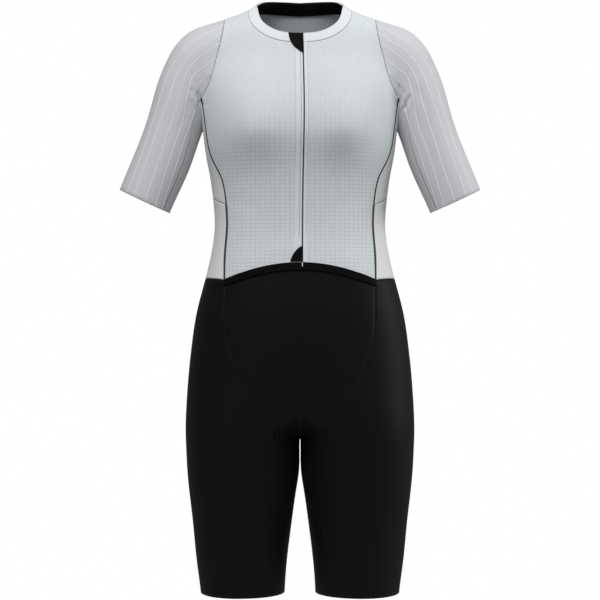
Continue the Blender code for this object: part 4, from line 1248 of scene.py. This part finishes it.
def stitches(name, lines, material, slot, lift=0):
    s = sizes()
    size = (s.stitch, s.thread, s.thread * 0.8)
    return dotted(name, lines, thread_lump, s.stitch + s.stitch_gap, size, material, slot, lift=lift)


def even(line):
    """The line with its points evenly spaced and its corners eased."""
    return settle(spaced(smooth(line, len(line)), LINE_POINTS))


def hem_lift(grid):
    """How far the fronts stand off the form: they rise to their hem, over the waistband's ends less."""
    x, z = grid[..., 0], grid[..., 2]
    near = np.clip(1 - (z - arch(x)) / HEM_EASE, 0, 1)
    ends = 1 - HEM_SETTLES * (np.abs(x) / ARCH_SIDE) ** 6
    return HEM_LIFT * near * near * (3 - 2 * near) * ends


def zip_edge(z, half):
    return ZIP_X(z) + half * ZIP_GAP / 2


def neck_front(half):
    """The front neckline from the zip's edge to the neck point."""
    point = np.array(NECK_POINT) * MM * (half, 1, 1)
    rows = np.array(NECK_FRONT_ROWS) * MM * (half, 1)
    edge = zip_edge(rows[0, 1], half)
    line = on_side(*smooth(np.concatenate([[(edge, rows[0, 1])], rows[1:]]), NECK).T, -1)
    line = np.concatenate([line, settle(smooth(np.stack([line[-1], settle(point)]), 2))[1:]])
    return spaced(line, NECK)


def neck_loop(seams):
    """The whole neck seam, from the zip's edge round by the wearer's right shoulder to its other edge."""
    right = join(neck_front(-1), mirrored(seams["neck_back"]))
    left = join(neck_front(1), seams["neck_back"])
    return join(right, left[::-1])


def up_neck(loop, rise):
    """The loop, moved up the form by rise, square to itself."""
    along = np.gradient(loop, axis=0)
    way = np.cross(along, outward(loop))
    way /= np.linalg.norm(way, axis=1, keepdims=True)
    return settle(loop + way * rise)


SEAMS = left_seams()
LOOP = neck_loop(SEAMS)
BAND_TOP = up_neck(LOOP, NECKBAND_WIDTH)
ZIP_TOP = float(LOOP[0, 2])
HALVES = ((-1, "right"), (1, "left"))


def both(grid, half):
    return grid if half > 0 else mirrored(grid)


# ---------------------------------------------------------------- the operators


class SUIT_OT_bodice(bpy.types.Operator):
    """Make the two fronts and the back from the mesh knit"""

    bl_idname = "suit.bodice"
    bl_label = "Bodice"

    def execute(self, context):
        for half, name in HALVES:
            neck = neck_front(half)
            lines = {key: line * (half, 1, 1) for key, line in SEAMS.items()}
            neck[-1] = lines["shoulder"][0]
            x = np.linspace(zip_edge(ARCH_TOP, half), half * ARCH_SIDE, DRAWN)
            bottom = spaced(on_side(x, arch(x), -1), NECK)
            bottom[-1] = lines["princess_low_front"][-1]
            z = np.linspace(neck[0, 2], bottom[0, 2], DRAWN)
            middle = spaced(on_side(zip_edge(z, half), z, -1), TORSO)
            middle[0], middle[-1] = neck[0], bottom[0]
            armhole = lines["armhole_front"][::-1]
            side = join(lines["shoulder"], armhole, lines["princess_high_front"], lines["princess_low_front"])
            grid = patch(neck, bottom, middle, side, front_chart())
            panel("front_" + name, [grid], "mesh", "1001", [hem_lift(grid)], straight_map, times=3)
        keys = ("shoulder", "armhole_back", "princess_high_back", "princess_low_back")
        side = join(*(SEAMS[key] for key in keys))
        top, bottom = SEAMS["neck_back"][::-1], SEAMS["waist_back"][::-1]
        grid = patch(top, bottom, SEAMS["centre_back"], side, torso_chart(1))
        whole = np.concatenate([mirrored(grid)[:, :0:-1], grid], axis=1)
        panel("back", [whole], "mesh", "1111", flat=straight_map)
        return {"FINISHED"}


class SUIT_OT_sides(bpy.types.Operator):
    """Make the upper and lower side panels"""

    bl_idname = "suit.sides"
    bl_label = "Side panels"

    def execute(self, context):
        front, back = SEAMS["princess_high_front"], SEAMS["princess_high_back"]
        upper = patch(SEAMS["underarm"], SEAMS["cross"], front, back, torso_chart(-1))
        front, back = SEAMS["princess_low_front"], SEAMS["princess_low_back"]
        lower = patch(SEAMS["cross"], SEAMS["waist_side"], front, back, torso_chart(-1))
        for half, name in HALVES:
            panel("side_upper_" + name, [both(upper, half)], "side", "1111", times=3)
            panel("side_lower_" + name, [both(lower, half)], "side", "1111", times=3)
        return {"FINISHED"}


class SUIT_OT_sleeves(bpy.types.Operator):
    """Make the sleeves and the panels under them, with the raised lines"""

    bl_idname = "suit.sleeves"
    bl_label = "Sleeves"

    def execute(self, context):
        cap = join(SEAMS["armhole_front"], SEAMS["armhole_back"])
        sleeve = patch(cap, SEAMS["cuff_out"], SEAMS["sleeve_front"], SEAMS["sleeve_back"], arm_chart(True))
        front, back = SEAMS["sleeve_front"], SEAMS["sleeve_back"]
        under = patch(SEAMS["underarm"], SEAMS["cuff_in"], front, back, arm_chart(False))
        for half, name in HALVES:
            panel("sleeve_" + name, [both(sleeve, half)], "sleeve", "1011", times=3)
            panel("undersleeve_" + name, [both(under, half)], "sleeve", "1011", times=3)
            lines = [self.line(sleeve, MIDDLE_LINE)]
            for places in SLEEVE_LINES:
                lines += [self.line(sleeve, places), self.line(sleeve[:, ::-1], places)]
            s = sizes()
            lines = [both(line, half) for line in lines]
            ribbons("sleeve_lines_" + name, lines, s.line_width, s.line_height, "line")
        return {"FINISHED"}

    @staticmethod
    def line(grid, places):
        """Points on a panel's grid, from their shares of the way down and across it."""
        down, across = smooth(np.array(places), LINE_POINTS).T
        row, column = down * (len(grid) - 1), across * (grid.shape[1] - 1)
        i = np.minimum(row.astype(int), len(grid) - 2)
        j = np.minimum(column.astype(int), grid.shape[1] - 2)
        a, b = (row - i)[:, None], (column - j)[:, None]
        upper = grid[i, j] * (1 - b) + grid[i, j + 1] * b
        lower = grid[i + 1, j] * (1 - b) + grid[i + 1, j + 1] * b
        return settle(upper * (1 - a) + lower * a)


class SUIT_OT_shorts(bpy.types.Operator):
    """Make the shorts: front, legs and gusset"""

    bl_idname = "suit.shorts"
    bl_label = "Shorts"

    def execute(self, context):
        top = join(SEAMS["waist_side"], SEAMS["waist_back"])
        left = join(SEAMS["shorts"], SEAMS["gusset_front"])
        right = join(SEAMS["centre_seat"], SEAMS["gusset_back"])
        leg = patch(top, SEAMS["hem_out"], left, right, leg_chart(True))
        for half, name in HALVES:
            panel("short_leg_" + name, [both(leg, half)], "black", "1011", sunk=SHORTS_SINK)
        x = np.linspace(0, ARCH_SIDE, DRAWN)
        tuck = BAND_TUCK * (1 - (x / ARCH_SIDE) ** 4)
        top = spaced(on_side(x, arch(x) - tuck, -1), FRONT_HALF)
        top[-1] = SEAMS["shorts"][0]
        z = np.linspace(top[0, 2], SEAMS["front_bottom"][-1, 2], DRAWN)
        middle = spaced(on_side(0 * z, z, -1), FRONT_DROP)
        middle[-1] = SEAMS["front_bottom"][-1]
        grid = patch(top, SEAMS["front_bottom"][::-1], middle, SEAMS["shorts"], torso_chart(-1))
        whole = np.concatenate([mirrored(grid)[:, :0:-1], grid], axis=1)
        panel("shorts_front", [whole], "black", "0111", sunk=SHORTS_SINK)
        top = join(SEAMS["front_bottom"], SEAMS["cleft"])
        grid = patch(top, SEAMS["hem_in"], SEAMS["gusset_front"], SEAMS["gusset_back"], leg_chart(False))
        panel("gusset", [grid, mirrored(grid)], "black", "0011", sunk=SHORTS_SINK)
        return {"FINISHED"}


class SUIT_OT_neck(bpy.types.Operator):
    """Make the neckband and the black facing inside the back of the neck"""

    bl_idname = "suit.neck"
    bl_label = "Neck"

    def execute(self, context):
        rises = np.array(EDGE_SHARES) * NECKBAND_WIDTH
        band = np.stack([up_neck(LOOP, rise) for rise in rises])
        lift = NECKBAND_LIFT + 0.35 * MM * np.sin(np.pi * rises / NECKBAND_WIDTH)[:, None] ** 0.5
        panel("neckband", [band], "neck", lifts=[lift], wall=sizes().band)
        inward = NECK - np.abs(np.arange(2 * NECK + 1) - NECK)
        low = (NECKBAND_WIDTH - FACING_WIDTH) * np.minimum(1, (inward + FINER) / FINER / FACING_TAPER)
        rows = []
        flat = 0 * low
        for height in (low, low / 2, flat, flat + NECKBAND_WIDTH / 2, flat + NECKBAND_WIDTH + FACING_STEP):
            rise = np.zeros((len(LOOP), 1))
            rise[NECK : 3 * NECK + 1, 0] = height
            rows.append(up_neck(LOOP, rise)[NECK : 3 * NECK + 1])
        wall = sizes().tape
        panel("back_neck_facing", [np.stack(rows)], "trim", lifts=[-FACING_DROP], wall=wall)
        return {"FINISHED"}


class SUIT_OT_waistband(bpy.types.Operator):
    """Make the waistband under the fronts' hem"""

    bl_idname = "suit.waistband"
    bl_label = "Waistband"

    def execute(self, context):
        x = np.linspace(-ARCH_SIDE, ARCH_SIDE, 2 * BAND_HALF + 1)
        width = WAISTBAND_WIDTH * (1 - BAND_TAPER * (x / ARCH_SIDE) ** 4)
        grid = np.stack([on_side(x, arch(x) - share * width, -1) for share in EDGE_SHARES])
        panel("waistband", [grid], "trim", lifts=[HEM_LIFT], wall=sizes().band)
        return {"FINISHED"}


def quarter_round(width, height, powers):
    """A quarter of a rounded tab as a grid: distances from its two straight edges."""
    u, v = np.meshgrid(np.linspace(0, 1, TAB + 1), np.linspace(0, 1, TAB + 1))
    across, down = u * np.sqrt(1 - v * v / 2), v * np.sqrt(1 - u * u / 2)
    angle = np.arctan2(down, across)
    power = np.interp(angle, (0, np.pi / 2), powers)
    edge = (np.cos(angle) ** power + np.sin(angle) ** power) ** (-1 / power)
    drawn = 1 - np.hypot(across, down) * (1 - edge)
    return width * across * drawn, height * down * drawn, u, v


class SUIT_OT_zip(bpy.types.Operator):
    """Make the zip's tape and teeth, the bands beside it and the covers of its two ends"""

    bl_idname = "suit.zip"
    bl_label = "Zip"

    def execute(self, context):
        top = (BAND_TOP[0] + BAND_TOP[-1])[2] / 2
        z = np.linspace(top - ZIP_TAPE_CLEAR, ARCH_TOP + ZIP_TAPE_CLEAR, 91)
        x = ZIP_X(z)[:, None] + np.linspace(-0.5, 0.5, 9) * ZIP_TAPE_WIDTH
        grid = on_side(x, z[:, None] + 0 * x, -1)
        lift = hem_lift(grid) - ZIP_TAPE_DROP
        panel("zip_tape", [grid], "trim", lifts=[lift], wall=sizes().tape)
        lines = []
        for half in (-1, 1):
            x = ZIP_X(z) + half * TOOTH_SIZE[1] * TOOTH_SIDE
            lines.append(on_side(x, z + half * TOOTH_PITCH / 4, -1))
        dotted("zip_teeth", lines, self.tooth, TOOTH_PITCH, TOOTH_SIZE, "zip", "black_trim", -TOOTH_DROP)
        self.bands()
        self.covers()
        return {"FINISHED"}

    @staticmethod
    def tooth(block):
        bmesh.ops.create_cube(block, size=1)
        edges = block.edges[:]
        bmesh.ops.bevel(
            block, geom=edges, offset=TOOTH_BEVEL, segments=1, profile=0.5, affect="EDGES", material=-1
        )

    def bands(self):
        """The doubled cloth on either side of the zip, with the stitches that hold it."""
        z = np.linspace(ZIP_TOP, ARCH_TOP, BAND_POINTS)
        grids, meshes = [], []
        for half, rows in ((-1, RIGHT_BAND_ROWS), (1, LEFT_BAND_ROWS)):
            offs, lift = smooth(np.array(rows) * MM, BAND_COLUMNS).T
            x = ZIP_X(z)[:, None] + half * offs
            grid = on_side(x, z[:, None] + 0 * x, -1)
            grids.append(grid)
            meshes.append(sheet_mesh("band", placed(grid, hem_lift(grid) + lift), straight_map(grid)))
        piece = finished("zip_bands", meshes, "band")
        declare(grids)
        lines = [on_side(ZIP_X(z) + off * MM, z, -1) for off in STITCH_LINES]
        stitches("zip_stitches", lines, "thread", "mesh", STITCH_LIFT)
        # Painted shade: dark thread-coloured lines where the folds beside the zip cast soft shade.
        lines = [on_side(ZIP_X(z) + off * MM, z, -1) for off in FOLD_SHADE_LINES]
        ribbons("zip_folds", lines, FOLD_SHADE_WIDTH, FOLD_RISE, "thread", STITCH_LIFT)
        z = np.linspace(ARCH_TOP, ARCH_TOP - ZIP_END, BAND_COLUMNS)
        line = on_side(ZIP_X(z), z, -1)
        ribbons("zip_end", [line], sizes().bead, FOLD_RISE, "band", HEM_LIFT)

    def covers(self):
        """The black tabs over the zip's two ends, with their rolled edges."""
        s = sizes()
        out, down, u, v = quarter_round(*GARAGE, GARAGE_POWERS)
        top = BAND_TOP[: NECK + 1]
        order = np.argsort(top[:, 0])
        edge = ZIP_X(BAND_TOP[0, 2]) + TAB_OVERLAP
        rim = np.interp(edge - out, top[order, 0], top[order, 2])
        z = rim - down
        garage = on_side(ZIP_X(z) + TAB_OVERLAP - out, z, -1)
        puff = GARAGE_PUFF * np.sin(np.pi * u) * np.sin(np.pi * v)
        lift = TAB_LIFT + NECKBAND_LIFT + puff
        panel("zip_garage", [garage], "trim", lifts=[lift], wall=s.tape)
        out, up, u, v = quarter_round(*GUARD, GUARD_POWERS)
        foot = arch(ZIP_X(ARCH_TOP) - out)
        guard = on_side(ZIP_X(foot + up) + TAB_OVERLAP - out, foot + up, -1)
        panel("zip_guard", [guard], "trim", lifts=[hem_lift(guard) + TAB_LIFT], wall=s.tape)
        for name, grid, lift in (("garage", garage, TAB_LIFT + NECKBAND_LIFT), ("guard", guard, TAB_LIFT)):
            line = spaced(join(grid[-1], grid[::-1, -1]), LINE_POINTS)
            lift = lift + hem_lift(line)
            ribbons(f"zip_{name}_edge", [line], s.bead, s.bead / 3, "trim", lift)


class SUIT_OT_seams(bpy.types.Operator):
    """Make the flat seams and the rows of stitches along the panels' edges"""

    bl_idname = "suit.seams"
    bl_label = "Seams and stitches"

    def execute(self, context):
        s = sizes()
        seams, strips, thin, under = [], [], [], []
        for half, _ in HALVES:
            for side in ("front", "back"):
                high, low = SEAMS["princess_high_" + side], SEAMS["princess_low_" + side]
                seams.append(both(even(join(high, low)), half))
                strips.append(both(even(low), half))
                thin += [both(even(SEAMS["armhole_" + side]), half)]
                under.append(both(even(SEAMS["sleeve_" + side]), half))
            thin += [both(even(SEAMS[key]), half) for key in ("shoulder", "cross")]
        thin.append(even(LOOP))
        ribbons("side_seams", seams, s.seam, SEAM_RISE, "seam", -SEAM_DROP)
        ribbons("side_seam_strips", strips, s.strip, STRIP_RISE, "strip", -SEAM_DROP)
        # The thin seams' and the sleeve seams' lines are painted dark for the shade in their grooves.
        ribbons("thin_seams", thin, s.groove, THIN_RISE, "groove", -SINK_DEPTH)
        ribbons("sleeve_seams", under, s.groove * 1.5, THIN_RISE, "groove", -SINK_DEPTH)
        self.edges(s)
        return {"FINISHED"}

    def edges(self, s):
        """The rolled edges of the neckband, the fronts' hem and the sleeves."""
        x = np.linspace(-ARCH_SIDE, ARCH_SIDE, DRAWN)
        hem = on_side(x, arch(x), -1)
        left, right = hem[x > zip_edge(ARCH_TOP, 1)], hem[x < zip_edge(ARCH_TOP, -1)]
        lines = [even(left), even(right)]
        for name, line in zip(("left", "right"), lines):
            ribbons("hem_edge_" + name, [line], s.bead, s.bead / 3, "band", hem_lift(line))
        ribbons("neck_edge", [even(BAND_TOP)], s.bead, s.bead / 3, "neck", NECKBAND_LIFT)
        cuffs = []
        for half, _ in HALVES:
            round_cuff = join(SEAMS["cuff_out"], SEAMS["cuff_in"][::-1])
            cuffs.append(both(even(round_cuff), half))
        ribbons("cuff_edges", cuffs, s.bead, s.bead / 3, "sleeve")


class SUIT_OT_stage(bpy.types.Operator):
    """Set up the floor, the lights and the camera"""

    bl_idname = "suit.stage"
    bl_label = "Stage"

    def execute(self, context):
        scene = context.scene
        floor = bmesh.new()
        bmesh.ops.create_circle(floor, cap_ends=True, radius=FLOOR_RADIUS, segments=96)
        bmesh.ops.translate(floor, vec=(0, 0, CAD_BOX[0][2] - FLOOR_DROP), verts=floor.verts)
        mesh = bpy.data.meshes.new("floor")
        floor.to_mesh(mesh)
        floor.free()
        made = Nodes("floor")
        mesh.materials.append(made.finish(tuple(colours().floor), 0.9))
        piece = bpy.data.objects.new("floor", mesh)
        scene.collection.objects.link(piece)
        piece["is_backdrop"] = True

        world = bpy.data.worlds.new("studio")
        scene.world = world
        world.use_nodes = True
        tree = world.node_tree
        seen = tree.nodes["Background"]
        seen.inputs[0].default_value = (1, 1, 1, 1)
        seen.inputs[1].default_value = 1.0
        lit = tree.nodes.new("ShaderNodeBackground")
        lit.inputs[0].default_value = (0.97, 0.99, 1, 1)
        lit.inputs[1].default_value = AMBIENT
        path = tree.nodes.new("ShaderNodeLightPath")
        mixer = tree.nodes.new("ShaderNodeMixShader")
        tree.links.new(path.outputs["Is Camera Ray"], mixer.inputs[0])
        tree.links.new(lit.outputs[0], mixer.inputs[1])
        tree.links.new(seen.outputs[0], mixer.inputs[2])
        tree.links.new(mixer.outputs[0], tree.nodes["World Output"].inputs[0])

        for name, place, facing, size, power in LIGHTS:
            light = bpy.data.lights.new(name, "AREA")
            light.size = size
            light.energy = power
            lamp = bpy.data.objects.new(name, light)
            lamp.location = place
            aim = Vector(facing) - Vector(place)
            lamp.rotation_euler = aim.to_track_quat("-Z", "Y").to_euler()
            scene.collection.objects.link(lamp)

        lens = bpy.data.cameras.new("camera")
        lens.sensor_width = SENSOR
        lens.lens = SENSOR * CAMERA_AWAY / CAMERA_WIDTH
        camera = bpy.data.objects.new("camera", lens)
        camera.location = (0, -CAMERA_AWAY, CAMERA_HEIGHT)
        camera.rotation_euler = (np.pi / 2, 0, 0)
        scene.collection.objects.link(camera)
        scene.camera = camera
        scene.view_settings.view_transform = "Standard"
        return {"FINISHED"}


class SUIT_PT_panel(bpy.types.Panel):
    """Lists the suit's pieces in the sidebar"""

    bl_idname = "SUIT_PT_panel"
    bl_label = "Triathlon suit"
    bl_space_type = "VIEW_3D"
    bl_region_type = "UI"
    bl_category = "Triathlon suit"

    def draw(self, context):
        for group in (context.scene.suit_sizes, context.scene.suit_colours):
            box = self.layout.box()
            for name in group.__annotations__:
                box.prop(group, name)
        for maker in MAKERS:
            self.layout.operator(maker.bl_idname)


MAKERS = (
    SUIT_OT_stage,
    SUIT_OT_bodice,
    SUIT_OT_sides,
    SUIT_OT_sleeves,
    SUIT_OT_shorts,
    SUIT_OT_neck,
    SUIT_OT_waistband,
    SUIT_OT_zip,
    SUIT_OT_seams,
)
CLASSES = (SuitSizes, SuitColours, *MAKERS, SUIT_PT_panel)


def register():
    for kind in CLASSES:
        bpy.utils.register_class(kind)
    bpy.types.Scene.suit_sizes = PointerProperty(type=SuitSizes)
    bpy.types.Scene.suit_colours = PointerProperty(type=SuitColours)


def unregister():
    del bpy.types.Scene.suit_colours
    del bpy.types.Scene.suit_sizes
    for kind in reversed(CLASSES):
        bpy.utils.unregister_class(kind)


def main():
    register()
    bpy.ops.suit.stage()
    bpy.ops.suit.bodice()
    bpy.ops.suit.sides()
    bpy.ops.suit.sleeves()
    bpy.ops.suit.shorts()
    bpy.ops.suit.neck()
    bpy.ops.suit.waistband()
    bpy.ops.suit.zip()
    bpy.ops.suit.seams()
    boxes = {"cad": CAD_BOX, "visual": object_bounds()}
    sized = {name: [[round(value, 5) for value in corner] for corner in box] for name, box in boxes.items()}


if __name__ == "__main__":
    main()
